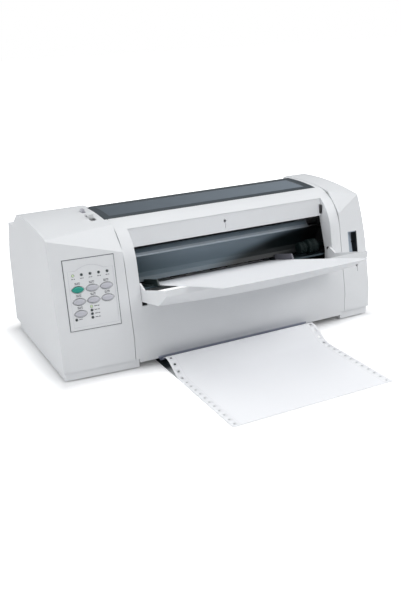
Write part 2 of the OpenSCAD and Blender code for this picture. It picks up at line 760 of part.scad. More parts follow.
module access_window() {
  rim = 12;
  gap = 0.5;
  arm_t = 3;
  color("slategray") difference() {
    union() {
      window_ring(0, window_t, window_y0 + gap, window_y1, window_x0 + gap, window_x1 - gap);
      for (x = [frame_l + frame_t + 0.5, frame_r - frame_t - 0.5 - arm_t - window_band + 4]) {
        along_x(x, x + arm_t) union() {
          translate([lid_y, lid_z]) circle(r = 5);
          polygon([[lid_y - 5, lid_z], [lid_y + 4.6, lid_z + 2], [window_y1 - 0.5, crown_z(window_y1) - 1.5],
            [window_y1 - 16, crown_z(window_y1 - 16) - 1.5]]);
        }
      }
      translate([frame_l - 0.5, lid_y, lid_z]) rotate([0, 90, 0]) cylinder(r = lid_pin, h = frame_t + 4);
      translate([frame_r - frame_t - window_band + 1, lid_y, lid_z]) rotate([0, 90, 0])
        cylinder(r = lid_pin, h = frame_t + window_band - 0.5);
    }
    window_ring(-1, window_sink, window_y0 + rim, window_y1 - rim, window_x0 + rim, window_x1 - rim);
    translate([window_x0 - 1, lid_y - lap_back, 0]) cube([window_lap + 1 + gap, far, far]);
  }
}

// ---- operator panel ------------------------------------------------------------------
// local frame on the leaning, swept front of the left housing: X across, Y up, Z outwards
panel_x = x_left + left_w / 2;
panel_zc = (skirt_z + body_h) / 2 + 10;
module on_panel() {
  translate([seam_l, front_y, 0]) rotate([0, 0, -sweep_a]) translate([-seam_l, -front_y, 0])
    translate([panel_x, lean_y(panel_zc), panel_zc]) rotate([90 - lean, 0, 0]) children();
}

module oval(w, h, z0, z1) {
  translate([0, 0, z0]) linear_extrude(z1 - z0) intersection() {
    r = (w * w + h * h) / (4 * h);
    translate([0, r - h / 2]) circle(r = r, $fn = 96);
    translate([0, h / 2 - r]) circle(r = r, $fn = 96);
  }
}

key_x0 = -18.4;
key_y0 = 6.9;
key_places = [[0, 0], [1, 0], [2, 0], [0, 1], [1, 1], [2, 1], [0, 2]];
light_r = 1.5;
row_lights = [for (i = [0 : 4]) [-22.8 + i * 11.55, 26]];
column_lights = [for (i = [0 : 3]) [-3.2, -17.6 - i * 4.9]];
all_lights = concat(row_lights, column_lights, [[-25, -32.4]]);

function key_at(i) = [key_x0 + key_places[i][0] * key_pitch, key_y0 - key_places[i][1] * row_pitch];

pocket_d = 1.6;              // the plate lies in a shallow pocket
pocket_gap = 1.2;
module panel_cut() {
  on_panel() {
    translate([-panel_w / 2 + 3, -panel_l / 2 + 3, -8]) cube([panel_w - 6, panel_l - 6, 16]);
    translate([-panel_w / 2 - pocket_gap, -panel_l / 2 - pocket_gap, -pocket_d])
      cube([panel_w + 2 * pocket_gap, panel_l + 2 * pocket_gap, 12]);
  }
}

// sunk field for the captions, with a low arch at its top
label_left = 4.5;
label_right = 1.8;
label_foot = 3;
label_head = 14;
arch_h = 6;
arch_w = 38;
module label_area() {
  arch_r = (arch_w * arch_w / 4 + arch_h * arch_h) / (2 * arch_h);
  label_top = panel_l / 2 - label_head;
  translate([-panel_w / 2 + label_left, -panel_l / 2 + label_foot])
    square([panel_w - label_left - label_right, panel_l - label_foot - label_head]);
  intersection() {
    translate([0, label_top + arch_h - arch_r]) circle(r = arch_r, $fn = 96);
    translate([-arch_w, 0]) square([2 * arch_w, panel_l]);
  }
}

module panel_bezel() {
  color("gainsboro") on_panel() difference() {
    union() {
      translate([-panel_w / 2, -panel_l / 2, -pocket_d]) cube([panel_w, panel_l, pocket_d + panel_t]);
      translate([-panel_w / 2 + 3 + seat, -panel_l / 2 + 3 + seat, -2.5])
        cube([panel_w - 6 - 2 * seat, panel_l - 6 - 2 * seat, 3]);
    }
    for (i = [0 : 6]) translate(key_at(i)) oval(key_w + 2 * key_gap, key_h + 2 * key_gap, -4, 4);
    for (p = all_lights) translate([p[0], p[1], -4]) cylinder(r = light_r + 0.05, h = 8, $fn = 24);
    translate([0, 0, panel_t - 0.4]) linear_extrude(2) label_area();
  }
}

board_z = -7;
module panel_board() {
  color("seagreen") on_panel() {
    translate([-panel_w / 2 + 6, -panel_l / 2 + 6, board_z]) cube([panel_w - 12, panel_l - 12, 1.6]);
    for (i = [0 : 6]) translate([key_at(i)[0] - 3, key_at(i)[1] - 3, board_z]) cube([6, 6, 2.6]);
    // standoffs up to the bezel
    for (x = [-1, 1], y = [-1, 1])
      translate([x * (panel_w / 2 - 8.5), y * (panel_l / 2 - 8.5), board_z]) cylinder(r = 1.8, h = -2.5 - board_z);
  }
}

module light(p) { translate([p[0], p[1], -2.5]) cylinder(r = light_r, h = 2.5 + panel_t, $fn = 24); }
module status_lights() {
  color("dimgray") on_panel() for (i = [1, 2, 3, 4, 6, 7, 8, 9]) light(all_lights[i]);
}
module lit_lights() {
  color("yellowgreen") on_panel() for (i = [0, 5]) light(all_lights[i]);
}

module key(i) {
  on_panel() translate(key_at(i)) {
    oval(key_w, key_h, -2, panel_t + key_rise);
    translate([0, 0, -3.1]) cylinder(r = 2, h = 2);
  }
}
module key_start() { color("mediumseagreen") key(0); }
module key_a() { color("silver") key(1); }
module key_b() { color("silver") key(2); }
module key_c() { color("silver") key(3); }
module key_d() { color("silver") key(4); }
module key_e() { color("silver") key(5); }
module key_f() { color("silver") key(6); }

// ---- power switch --------------------------------------------------------------------
switch_x = x_right - right_w / 2 - 1;
switch_zc = 118;
module on_switch() {
  translate([switch_x, lean_y(switch_zc), switch_zc]) rotate([90 - lean, 0, 0]) children();
}
bezel_t = 1.2;
rocker_gap = 0.3;
rocker_w = switch_w * 0.5;
module switch_bezel() {
  color("gray") on_switch() difference() {
    translate([-switch_w / 2 + 0.05, -switch_l / 2 + 0.05, -switch_d - 3]) cube([switch_w - 0.1, switch_l - 0.1, switch_d + 3 - 0.4]);
    translate([-switch_w / 2 + bezel_t, -switch_l / 2 + bezel_t, -switch_d])
      cube([switch_w - 2 * bezel_t, switch_l - 2 * bezel_t, switch_d + 5]);
    translate([-switch_w / 2 - 1, 0, -switch_d + 3]) rotate([0, 90, 0]) cylinder(r = 1.5 + run_gap, h = switch_w + 2);
  }
}
module power_rocker() {
  x0 = -switch_w / 2 + bezel_t + rocker_gap;
  l = switch_l / 2 - bezel_t - 1;
  color("dimgray") on_switch() union() {
    translate([x0, 0, -switch_d + 3]) rotate([90, 0, 90]) linear_extrude(rocker_w)
      polygon([[-l, 1.6], [0, -1.6], [l, -1], [l, 1.2], [0, 2.2], [-l, 4.4]]);
    translate([x0 - 1.3, 0, -switch_d + 3]) rotate([0, 90, 0])
      cylinder(r = 1.5, h = switch_w - 2 * bezel_t - 2 * rocker_gap + 2.6);
  }
}

// ---- levers on the top ---------------------------------------------------------------
lever_tall = body_h - lever_pivot_z + 4;
module lever(x, y, w) {
  along_x(x - w / 2, x + w / 2) union() {
    translate([y, lever_pivot_z]) difference() {
      circle(r = lever_eye);
      circle(r = lever_pin + run_gap);
    }
    translate([y - 2, lever_pivot_z + lever_eye - 1]) square([4, lever_tall - lever_eye]);
    translate([y - 4, lever_pivot_z + lever_tall - 6]) square([8, 6]);
  }
}
module thickness_lever() { color("white") lever(lever_x, wide_y, slot_w - 2); }
module path_lever() { color("silver") lever(lever_x, small_y, small_w - 2); }

// ---- carriage ------------------------------------------------------------------------
home_x = open_l + 42;
block_y0 = rail_y - 14;
block_y1 = rail_y + 16;
block_top = rail_z + 18;
belt_t = 1.2;
belt_y0 = rail_y - 21.5;
belt_z = rail_z + 24;
belt_x0 = open_l + 6;
belt_x1 = open_r - 18;
module carriage_block() {
  color("dimgray") difference() {
    union() {
      translate([home_x - carriage_w / 2, block_y0, rail_z - 12])
        cube([carriage_w, block_y1 - block_y0, block_top - rail_z + 12]);
      // post and hook that ride behind the upper rail
      translate([home_x - 10, block_y0, block_top - 1]) cube([20, 5, beam_z + 11 - block_top + 1]);
      translate([home_x - 10, beam_y + 2.3, belt_z + 12]) cube([20, block_y0 - beam_y, beam_z + 11 - belt_z - 12]);
      // clamp on the belt's lower run
      translate([home_x - 8, belt_y0, belt_z - pulley_r + 0.2]) cube([16, block_y0 - belt_y0 + 1, 5]);
    }
    translate([home_x - far, rail_y, rail_z]) rotate([0, 90, 0]) cylinder(r = rail_r + run_gap, h = 2 * far);
    translate([home_x - 9, block_y1 - 7, rail_z - 16]) cube([18, 20, 50]);
  }
}

nose_y = platen_y - platen_r - 1.6;
module print_head() {
  w = 8.8;
  head_y = block_y1 - 7 + seat;
  color("darkgray") difference() {
    union() {
      translate([home_x - w, head_y, rail_z - 15]) cube([2 * w, 10, 30]);
      translate([home_x - 5, head_y + 9, platen_z - 7]) cube([10, nose_y - head_y - 9, 14]);
    }
    for (z = [rail_z - 2 : 3.4 : rail_z + 12])
      translate([home_x - far, head_y + 6, z]) cube([2 * far, 12, 1.6]);
  }
}

cart_z = block_top + 3;
arm_x = 26;                  // ribbon arms either side of the head
module ribbon_cartridge() {
  color("black") union() {
    translate([home_x - cartridge_w / 2, block_y0 + 7, cart_z]) cube([cartridge_w, 34, 13]);
    for (s = [-1, 1]) translate([home_x + s * arm_x - 3, block_y1 + 0.5, platen_z - 7])
      cube([6, nose_y + 1 - block_y1 - 0.5, cart_z - platen_z + 9]);
    translate([home_x - 16, block_y0 + 12, block_top]) cube([32, 12, cart_z - block_top + 1]);
  }
}

module ink_ribbon() {
  color("black") translate([home_x - arm_x + 3, nose_y + 0.3, platen_z - 6.5]) cube([2 * arm_x - 6, 0.3, 13]);
}

// ---- platen, gears and tractors ------------------------------------------------------
roller_in0 = 23;             // left end of the platen, in from its frame
roller_in1 = 21;
roller_x0 = frame_l + frame_t + roller_in0;
roller_x1 = frame_r - frame_t - roller_in1;
module platen_roller() {
  color("black") translate([roller_x0, platen_y, platen_z]) rotate([0, 90, 0]) difference() {
    cylinder(r = platen_r, h = roller_x1 - roller_x0, $fn = 96);
    translate([0, 0, -1]) cylinder(r = axle_r + 0.02, h = roller_x1 - roller_x0 + 2);
  }
}
gear_x = frame_l - 5 - gear_w;
module platen_shaft() {
  color("silver") translate([gear_x - 3, platen_y, platen_z]) rotate([0, 90, 0])
    cylinder(r = axle_r, h = frame_r + 3 - gear_x + 3);
}

// straight-sided teeth with working clearance; phase turns the first tooth
function tooth(n, phase) = let (r = gear_r(n), p = 360 / n) [for (i = [0 : n - 1]) each [
  polar(r - 1.25 * gear_m, phase + (i - 0.34) * p), polar(r, phase + (i - 0.2) * p),
  polar(r + 0.85 * gear_m, phase + (i - 0.09) * p), polar(r + 0.85 * gear_m, phase + (i + 0.09) * p),
  polar(r, phase + (i + 0.2) * p), polar(r - 1.25 * gear_m, phase + (i + 0.34) * p)]];
module gear(c, n, phase, bore) {
  translate([gear_x, c[0], c[1]]) rotate([90, 0, 90]) linear_extrude(gear_w) difference() {
    polygon(tooth(n, phase));
    circle(r = bore);
  }
}
// phase of a gear of nb teeth that meshes along direction a with one of na teeth at phase pa
function mesh(pa, na, nb, a) = a + 180 + 180 / nb - (pa - a) * na / nb;
phase_platen = pinion_dir;
phase_pinion = mesh(phase_platen, teeth_platen, teeth_pinion, pinion_dir);
phase_idler = mesh(phase_platen, teeth_platen, teeth_idler, train_dir);
phase_tractor = mesh(phase_idler, teeth_idler, teeth_tractor, train_dir);

module platen_gear() { color("ivory") gear(platen_c, teeth_platen, phase_platen, axle_r + 0.02); }
module feed_pinion() {
  color("goldenrod") {
    gear(pinion_c, teeth_pinion, phase_pinion, 2.02);
    translate([gear_x, pinion_c[0], pinion_c[1]]) rotate([0, 90, 0]) cylinder(r = 2, h = frame_l - gear_x + frame_t - 0.3);
  }
}
module idler_gear() {
  color("ivory") {
    gear(idler_c, teeth_idler, phase_idler, 3);
    translate([gear_x, idler_c[0], idler_c[1]]) rotate([0, 90, 0]) cylinder(r = 3, h = frame_l - gear_x + frame_t - 0.3);
  }
}
module tractor_gear() { color("ivory") gear(tractor_c, teeth_tractor, phase_tractor, axle_r + 0.02); }

shaft_a = 3.4;               // half the side of the square part of the tractor shaft
module tractor_shaft() {
  color("silver") {
    translate([gear_x - 2, tractor_c[0], tractor_c[1]]) rotate([0, 90, 0])
      cylinder(r = axle_r, h = frame_l + frame_t + 3 - gear_x + 2);
    translate([frame_r - frame_t - 3, tractor_c[0], tractor_c[1]]) rotate([0, 90, 0]) cylinder(r = axle_r, h = frame_t + 5);
    translate([frame_l + frame_t + 2.5, tractor_c[0] - shaft_a, tractor_c[1] - shaft_a])
      cube([frame_r - frame_l - 2 * frame_t - 5, 2 * shaft_a, 2 * shaft_a]);
  }
}

hole_in = 6.35;              // form edge to the middle of its punched holes
function column_x(s) = form_x + s * (form_w / 2 - hole_in);
sprocket_r = 14;
module tractor_sprockets() {
  color("dimgray") for (s = [-1, 1]) translate([column_x(s) - 3, tractor_c[0], tractor_c[1]])
    difference() {
      union() {
        rotate([0, 90, 0]) cylinder(r = sprocket_r, h = 6);
        for (i = [0 : 7]) rotate([i * 45, 0, 0]) translate([3, 0, sprocket_r - 1]) cylinder(r = 1.8, h = 3.5, $fn = 24);
      }
      translate([-1, -shaft_a - 0.02, -shaft_a - 0.02]) cube([8, 2 * shaft_a + 0.04, 2 * shaft_a + 0.04]);
    }
}

module tractor_bodies() {
  hub = shaft_a * 1.42 + 0.6;
  color("dimgray") for (s = [-1, 1], side = [-1, 1])
    along_x(column_x(s) + side * 6 - 1.5, column_x(s) + side * 6 + 1.5) difference() {
      union() {
        translate(tractor_c) circle(r = sprocket_r + 4);
        translate([bar_c[0] - 8, bar_c[1] - 6]) square([16, tractor_c[1] - bar_c[1]]);
      }
      translate(tractor_c) circle(r = hub);
      translate(bar_c) circle(r = 4.02);
    }
}

press_in = 20;               // first pressure roller, in from the platen's end
press_w = 24;
press_p = 70;
module pressure_rollers() {
  color("dimgray") for (x = [roller_x0 + press_in : press_p : roller_x1 - press_w])
    translate([x, nip_c[0], nip_c[1]]) rotate([0, 90, 0]) cylinder(r = nip_r, h = press_w);
  color("dimgray") translate([frame_l, nip_c[0], nip_c[1]]) rotate([0, 90, 0])
    cylinder(r = 3, h = frame_r - frame_l);
}

// rollers at the right end of the sheet opening
grip_y = hinge_y + 26;
grip_z = hinge_z + 19;
grip_x = sheet_x + sheet_w / 2 + 25.05;
grip_room = frame_r - frame_t - grip_x;
grip_near = grip_room * 0.23;
grip_far = grip_room * 0.3;
module grip_rollers() {
  color("black") translate([grip_x, grip_y, grip_z]) rotate([0, 90, 0]) {
    cylinder(r = 4, h = frame_r - grip_x);
    cylinder(r = 9, h = grip_near);
    translate([0, 0, grip_near + 3]) cylinder(r = 11, h = grip_far);
  }
}

// ---- belt drive ----------------------------------------------------------------------
module belt_loop(r) {
  for (x = [belt_x0, belt_x1]) translate([x, 0]) circle(r = r);
  translate([belt_x0, -r]) square([belt_x1 - belt_x0, 2 * r]);
}
module drive_belt() {
  color("black") translate([0, belt_y0 + belt_w, belt_z]) rotate([90, 0, 0]) linear_extrude(belt_w)
    difference() {
      belt_loop(pulley_r + belt_t);
      belt_loop(pulley_r + 0.1);
    }
}
pulley_pin = 2;
module pulley(x, len) {
  translate([x, belt_y0 - 1, belt_z]) rotate([-90, 0, 0]) {
    cylinder(r = pulley_r, h = belt_w + 2);
    cylinder(r = pulley_pin, h = len);
  }
}
module belt_pulley() { color("ivory") pulley(belt_x1, 13); }
module belt_idler() { color("ivory") pulley(belt_x0, 13); }

motor_r = 11;
plate_t = 2.4;
module carriage_motor() {
  y = belt_y0 + belt_w + 2.4;
  color("dimgray") difference() {
    union() {
      translate([belt_x1, y, belt_z]) rotate([-90, 0, 0]) cylinder(r = motor_r, h = 30);
      translate([belt_x1 - 12, y, belt_z - 13]) cube([frame_r - frame_t - belt_x1 + 12, plate_t, 26]);
      // bracket for the belt idler at the far end
      translate([frame_l + frame_t, y, belt_z - 8]) cube([belt_x0 - frame_l - frame_t + 8, plate_t, 16]);
    }
    for (x = [belt_x0, belt_x1]) translate([x, y - 1, belt_z]) rotate([-90, 0, 0]) cylinder(r = pulley_pin + run_gap, h = 9.5);
  }
}

module feed_motor() {
  color("dimgray") difference() {
    translate([frame_l + frame_t, pinion_c[0], pinion_c[1]]) rotate([0, 90, 0]) cylinder(r = 18, h = 20);
    translate([frame_l + frame_t - 1, pinion_c[0], pinion_c[1]]) rotate([0, 90, 0]) cylinder(r = 5, h = 2);
    translate([frame_l, platen_y, platen_z]) rotate([0, 90, 0]) cylinder(r = axle_r + 4, h = 60);
  }
}

// ---- electronics and rear ------------------------------------------------------------
inlet_x = frame_r - 51;
inlet_z = 28;
inlet_w = 28;
inlet_h = 20;
inlet_d = 22;                // depth of the inlet behind the rear face
ports_x = frame_l + 46;
ports_z = 28;
floor_z = foot_h + pan_floor;
supply_w = 110;
supply_l = 54;
supply_h = 50;
supply_x = frame_r - 21 - supply_w;
supply_y = rear_y - inlet_d - 4 - supply_l;
vent_p = 13;                 // pitch of the supply's vent slots
board_x = frame_l + 16;
board_w = supply_x - 25 - board_x;
board_d = 52;
board_y = pan_y1 - 5 - board_d;
board_lift = 8;
board_t = 1.6;
chip_w = 16;
chip_p = 24;
module logic_board() {
  color("seagreen") {
    translate([board_x, board_y, floor_z + board_lift]) cube([board_w, board_d, board_t]);
    for (x = [board_x + 5, board_x + board_w - 7], y = [board_y + 5, board_y + board_d - 8])
      translate([x, y, floor_z]) cylinder(r = 3, h = board_lift);
    for (x = [board_x + 65 : chip_p : board_x + board_w - chip_w - 1])
      translate([x, board_y + 10, floor_z + board_lift + board_t]) cube([chip_w, chip_w, 3]);
  }
}
module power_supply() {
  color("silver") difference() {
    translate([supply_x, supply_y, floor_z]) cube([supply_w, supply_l, supply_h]);
    for (x = [supply_x + 10 : vent_p : supply_x + supply_w - 20])
      translate([x, supply_y - 10, floor_z + 12]) cube([6, supply_l + 20, supply_h - 24]);
  }
}
blade_p = 7;                 // pitch of the inlet's three contact blades
module power_inlet() {
  color("black") translate([inlet_x, rear_y, inlet_z + inlet_h / 2]) {
    difference() {
      translate([-inlet_w / 2 + 0.1, -inlet_d, -inlet_h / 2 + 0.1])
        cube([inlet_w - 0.2, inlet_d, inlet_h - 0.2]);
      translate([-inlet_w / 2 + 3, -inlet_d + 6, -inlet_h / 2 + 3]) cube([inlet_w - 6, inlet_d, inlet_h - 6]);
    }
    for (x = [-blade_p, 0, blade_p]) translate([x - 1, -inlet_d + 5, -2]) cube([2, 12, 4]);
  }
}
port_d = 18;
module data_ports() {
  deck = floor_z + board_lift + board_t;
  color("darkgray") {
    translate([ports_x - 34, rear_y - wall - port_d, deck]) cube([52, port_d, ports_z + 16 - deck]);
    translate([ports_x - 30, rear_y - wall - 1, ports_z + 3]) cube([44, 5, 11]);
    translate([ports_x + 22, rear_y - wall - port_d, deck]) cube([12, port_d, ports_z + 16 - deck]);
  }
}
module cover_screws() {
  color("silver") for (x = [seam_l + 14, seam_r - 14], z = [24, 100])
    translate([x, rear_y, z]) rotate([90, 0, 0]) translate([0, 0, -1.5]) difference() {
      cylinder(r = 3.6, h = 1.5);
      translate([-0.5, -3, -1]) cube([1, 6, 1.8]);
    }
}

base_pan();
rubber_feet();
left_housing();
right_housing();
front_cover();
rear_cover();
side_frames();
guide_rail();
carriage_shaft();
paper_guide();
sheet_table();
bearing_bushes();
form_ramp();
tractor_bar();
tractor_bodies();
feed_motor();
carriage_motor();
logic_board();
power_supply();
power_inlet();
data_ports();
panel_bezel();
panel_board();
status_lights();
lit_lights();
switch_bezel();
drive_belt();
cover_screws();
continuous_form();
access_window();
sheet_flap();
cut_sheet();
left_sheet_guide();
right_sheet_guide();
thickness_lever();
path_lever();
power_rocker();
key_start();
key_a();
key_b();
key_c();
key_d();
key_e();
key_f();
carriage_block();
print_head();
ribbon_cartridge();
ink_ribbon();
platen_roller();
platen_shaft();
platen_gear();
feed_pinion();
idler_gear();
tractor_shaft();
tractor_sprockets();
tractor_gear();
belt_pulley();
belt_idler();
pressure_rollers();
grip_rollers();
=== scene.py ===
# %% [markdown]
# # A wide desk printer, dressed for the camera
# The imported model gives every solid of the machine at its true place, in metres. This lesson
# keeps those solids where their shape is already right, rounds the moulded covers, works out
# the paper, the keys and the printed marks as numpy surfaces, and gives each part a finish
# made of nodes. Sizes are written in millimetres, and `MM` turns them into metres.

import json
import math

import bmesh
import bpy
import numpy as np
from mathutils import Matrix, Vector

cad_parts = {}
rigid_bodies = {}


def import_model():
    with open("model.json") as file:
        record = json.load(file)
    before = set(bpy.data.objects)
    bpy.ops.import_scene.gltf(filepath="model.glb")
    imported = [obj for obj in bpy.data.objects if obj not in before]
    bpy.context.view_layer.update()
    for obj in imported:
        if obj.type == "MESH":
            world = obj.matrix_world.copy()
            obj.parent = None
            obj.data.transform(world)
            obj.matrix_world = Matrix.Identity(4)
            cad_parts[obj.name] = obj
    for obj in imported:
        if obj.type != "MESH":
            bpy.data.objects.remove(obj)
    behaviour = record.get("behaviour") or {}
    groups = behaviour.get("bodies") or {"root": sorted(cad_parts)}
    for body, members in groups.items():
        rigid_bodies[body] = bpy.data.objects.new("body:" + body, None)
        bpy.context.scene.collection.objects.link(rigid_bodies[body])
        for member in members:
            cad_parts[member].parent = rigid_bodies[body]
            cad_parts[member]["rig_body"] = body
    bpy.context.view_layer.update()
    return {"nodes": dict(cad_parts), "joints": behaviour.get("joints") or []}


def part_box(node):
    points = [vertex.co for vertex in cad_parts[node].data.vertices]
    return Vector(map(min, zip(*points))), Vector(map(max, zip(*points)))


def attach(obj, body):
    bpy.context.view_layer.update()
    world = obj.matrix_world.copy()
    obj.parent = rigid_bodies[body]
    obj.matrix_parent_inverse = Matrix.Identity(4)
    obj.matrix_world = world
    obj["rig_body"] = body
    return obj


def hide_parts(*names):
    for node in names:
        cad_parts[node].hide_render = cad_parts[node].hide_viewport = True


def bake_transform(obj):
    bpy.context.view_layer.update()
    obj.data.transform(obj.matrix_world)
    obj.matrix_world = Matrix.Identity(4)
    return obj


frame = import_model()
nodes = frame["nodes"]
MM = 0.001

# %% [markdown]
# ## Where the viewer stands
# A camera is a point, three directions and a focal length. The lens is given in pixels of a
# picture 601 high, and Blender wants millimetres on a 24 mm sensor, so one is scaled to the
# other. The horizon is tipped by under two degrees, which is the roll.

# %% Camera
PICTURE_H, SENSOR_H, FOCAL_PIXELS = 601, 24.0, 802.25
YAW, PITCH, ROLL = 26.76, 20.79, -1.68
EYE = Vector((-0.5125, -1.0497, 0.4764))


def aim(yaw, pitch, roll):
    """Right, up and forward of a viewer: yaw turns it from +Y towards +X, pitch tips it down,
    roll turns it about its own line of sight."""
    ahead = np.array([math.sin(yaw) * math.cos(pitch), math.cos(yaw) * math.cos(pitch), -math.sin(pitch)])
    right = np.cross(ahead, [0, 0, 1.0])
    right /= np.linalg.norm(right)
    up = np.cross(right, ahead)
    c, s = math.cos(roll), math.sin(roll)
    return right * c + up * s, up * c - right * s, ahead


right, up, ahead = aim(*(math.radians(angle) for angle in (YAW, PITCH, ROLL)))
camera_data = bpy.data.cameras.new("viewer")
camera_data.sensor_fit = "VERTICAL"
camera_data.sensor_height = SENSOR_H
camera_data.lens = FOCAL_PIXELS / PICTURE_H * SENSOR_H
camera = bpy.data.objects.new("viewer", camera_data)
camera.matrix_world = Matrix.Translation(EYE) @ Matrix(
    [[right[i], up[i], -ahead[i]] for i in range(3)]).to_4x4()
bpy.context.scene.collection.objects.link(camera)
bpy.context.scene.camera = camera
print("lens", round(camera_data.lens, 2), "mm")

# %% [markdown]
# ## Shader sums written as Python
# A procedural finish is a sum: a little noise here, a mask there. Wiring each Math node by hand
# hides the sum, so one small class wraps a socket and lets `1 - mask * 0.2` add the nodes.

# %% Sums on sockets
class Wire:
    """A number that varies over the surface: an output socket that Python's operators work on."""

    def __init__(self, graph, socket):
        self.graph = graph
        self.socket = socket

    def maths(self, operation, *inputs):
        """One Math node, with the inputs in their order."""
        return self.graph.node("ShaderNodeMath", {"operation": operation}, dict(enumerate(inputs)))

    # Each of Python's signs adds the Math node of its name.
    def __add__(self, other):
        return self.maths("ADD", self, other)

    __radd__ = __add__

    def __sub__(self, other):
        return self.maths("SUBTRACT", self, other)

    def __rsub__(self, other):
        return self.maths("SUBTRACT", other, self)

    def __mul__(self, other):
        return self.maths("MULTIPLY", self, other)

    __rmul__ = __mul__

    def __truediv__(self, other):
        return self.maths("DIVIDE", self, other)

    def __gt__(self, other):
        return self.maths("GREATER_THAN", self, other)

    def __lt__(self, other):
        return self.maths("LESS_THAN", self, other)

    def size(self):
        """The number without its sign."""
        return self.maths("ABSOLUTE", self)

    def wave(self):
        """Its sine, the number taken in radians."""
        return self.maths("SINE", self)

    def mod(self, step):
        """What is left above the last whole step."""
        return self.maths("FLOORED_MODULO", self, step)

    def root(self):
        """Its square root."""
        return self.maths("SQRT", self)

    def at_least(self, low):
        """The larger of the number and `low`."""
        return self.maths("MAXIMUM", self, low)


print("a sign between two sockets adds one Math node")

# %% [markdown]
# ## One method for nodes, one class for a finish
# Every node that isn't a sum comes from one method, which takes its type, its settings and its
# inputs. A finish is such a tree round a Principled shader, with a few shortcuts: the place on
# the machine, noise, a ramp between two values, a mix of two colours and a fine relief.

# %% Nodes and finishes
class Graph:
    """A node tree: one method adds any node, one fills any socket."""

    def __init__(self, tree):
        self.tree = tree

    def node(self, kind, settings=None, values=None, out=0):
        """A new node. Its settings come first, because they decide which sockets it has."""
        made = self.tree.nodes.new(kind)
        for key, value in (settings or {}).items():
            setattr(made, key, value)
        for key, value in (values or {}).items():
            self.feed(made.inputs[key], value)
        return Wire(self, made.outputs[out])

    def feed(self, socket, value):
        """A wire is linked to the socket, anything else is written on it."""
        if isinstance(value, Wire):
            self.tree.links.new(value.socket, socket)
        else:
            socket.default_value = value


class Finish(Graph):
    """One material: its tree, its Principled shader and the shortcuts that fill it."""

    def __init__(self, name, colour, roughness, metallic=0.0, **constants):
        self.material = bpy.data.materials.new(name)
        self.material.use_nodes = True
        super().__init__(self.material.node_tree)
        self.shader = self.tree.nodes["Principled BSDF"]
        self.set("Base Color", (*colour, 1))
        self.set("Roughness", roughness)
        self.set("Metallic", metallic)
        for key, value in constants.items():
            self.set(key.replace("_", " "), value)
        self.material.diffuse_color = (*colour, 1)

    def set(self, name, value):
        """Fills one socket of the shader."""
        self.feed(self.shader.inputs[name], value)

    def place(self):
        """The point's place in the machine, in metres."""
        return self.node("ShaderNodeTexCoord", out=3)

    def axes(self):
        """The same place as three numbers."""
        split = self.node("ShaderNodeSeparateXYZ", None, {"Vector": self.place()}).socket.node
        return [Wire(self, socket) for socket in split.outputs]

    def noise(self, scale, detail=3.0, stretch=(1, 1, 1)):
        """Cloudy noise between 0 and 1 with about `scale` lumps to the metre."""
        where = self.node("ShaderNodeMapping", None, {"Vector": self.place(), "Scale": stretch})
        return self.node("ShaderNodeTexNoise", None, {"Vector": where, "Scale": scale, "Detail": detail})

    def ramp(self, value, low, high, smooth=True):
        """0 where the value is `low` or less, 1 where it is `high` or more, and between them a
        soft S, or a straight line where it isn't smooth."""
        kind = "SMOOTHSTEP" if smooth else "LINEAR"
        return self.node("ShaderNodeMapRange", {"interpolation_type": kind},
                         {"Value": value, "From Min": low, "From Max": high})

    def blend(self, mask, first, second):
        """Colour `first` where the mask is 0, `second` where it is 1."""
        first, second = (c if isinstance(c, Wire) else (*c, 1) for c in (first, second))
        return self.node("ShaderNodeMix", {"data_type": "RGBA"},
                         {"Factor": mask, 6: first, 7: second}, out=2)

    def relief(self, height, depth, strength=1.0):
        """Light falls as if the surface rose by height times depth metres."""
        self.set("Normal", self.node("ShaderNodeBump", None,
                                     {"Height": height, "Distance": depth, "Strength": strength}))


def tint(colour, factor):
    """Each channel times `factor`, and never above 1."""
    return tuple(min(1.0, c * factor) for c in colour)


print("one method for nodes, one class for a finish")

# %% [markdown]
# ## Moulded plastic
# The covers are injection moulded: a fine spark-eroded grain under half a millimetre across,
# slow drifts of tone where dust and age settle, and a roughness that drifts with them. A
# picture of grain would need unwrapping and would blur from close by, so it is noise on the
# machine's own coordinates. The front cover has one mark more: a painted shade along its lower
# edge, over the width of the paper that is drawn in under it, and the function can add that band.

# %% Finishes for plastics
FORM_X, FORM_WIDE, FORM_PITCH = 11.2 * MM, 241.3 * MM, 12.7 * MM
# Top, height and side margin of the painted shade on the front cover's lower edge.
PAINTED_SHADE_TOP, PAINTED_SHADE_TALL, PAINTED_SHADE_SIDE = 13.4 * MM, 3 * MM, 2 * MM
COVER_WHITE = (0.79, 0.80, 0.815)


def moulded(name, colour, roughness=0.45, grain=0.5, drift=0.05, mouth=0, **constants):
    """Grained plastic: the colour drifts by `drift` and the roughness by 0.09, up and down with slow
    noise and specks, and the grain is `grain` tenths of a millimetre deep. Below z = `mouth` it gets
    a painted shade over the width of the paper that goes in under it."""
    f = Finish(name, colour, roughness, **constants)
    slow = f.noise(9.0)
    fine = f.noise(2600.0, 2.0)
    specks = f.noise(520.0, 4.0)
    tone = f.blend(slow * 0.7 + specks * 0.3, tint(colour, 1 - drift), tint(colour, 1 + drift))
    # Painted shade: the lower edge darkens where the paper goes in under it.
    if mouth:
        x, _, z = f.axes()
        beside = (x - FORM_X).size() < FORM_WIDE / 2 + PAINTED_SHADE_SIDE
        tone = f.blend(beside * (1 - f.ramp(z, mouth - PAINTED_SHADE_TALL, mouth)), tone, (0.30, 0.32, 0.40))
    f.set("Base Color", tone)
    f.set("Roughness", slow * 0.12 + specks * 0.06 + (roughness - 0.09))
    f.relief(fine, grain * 0.0001, 0.35)
    return f.material


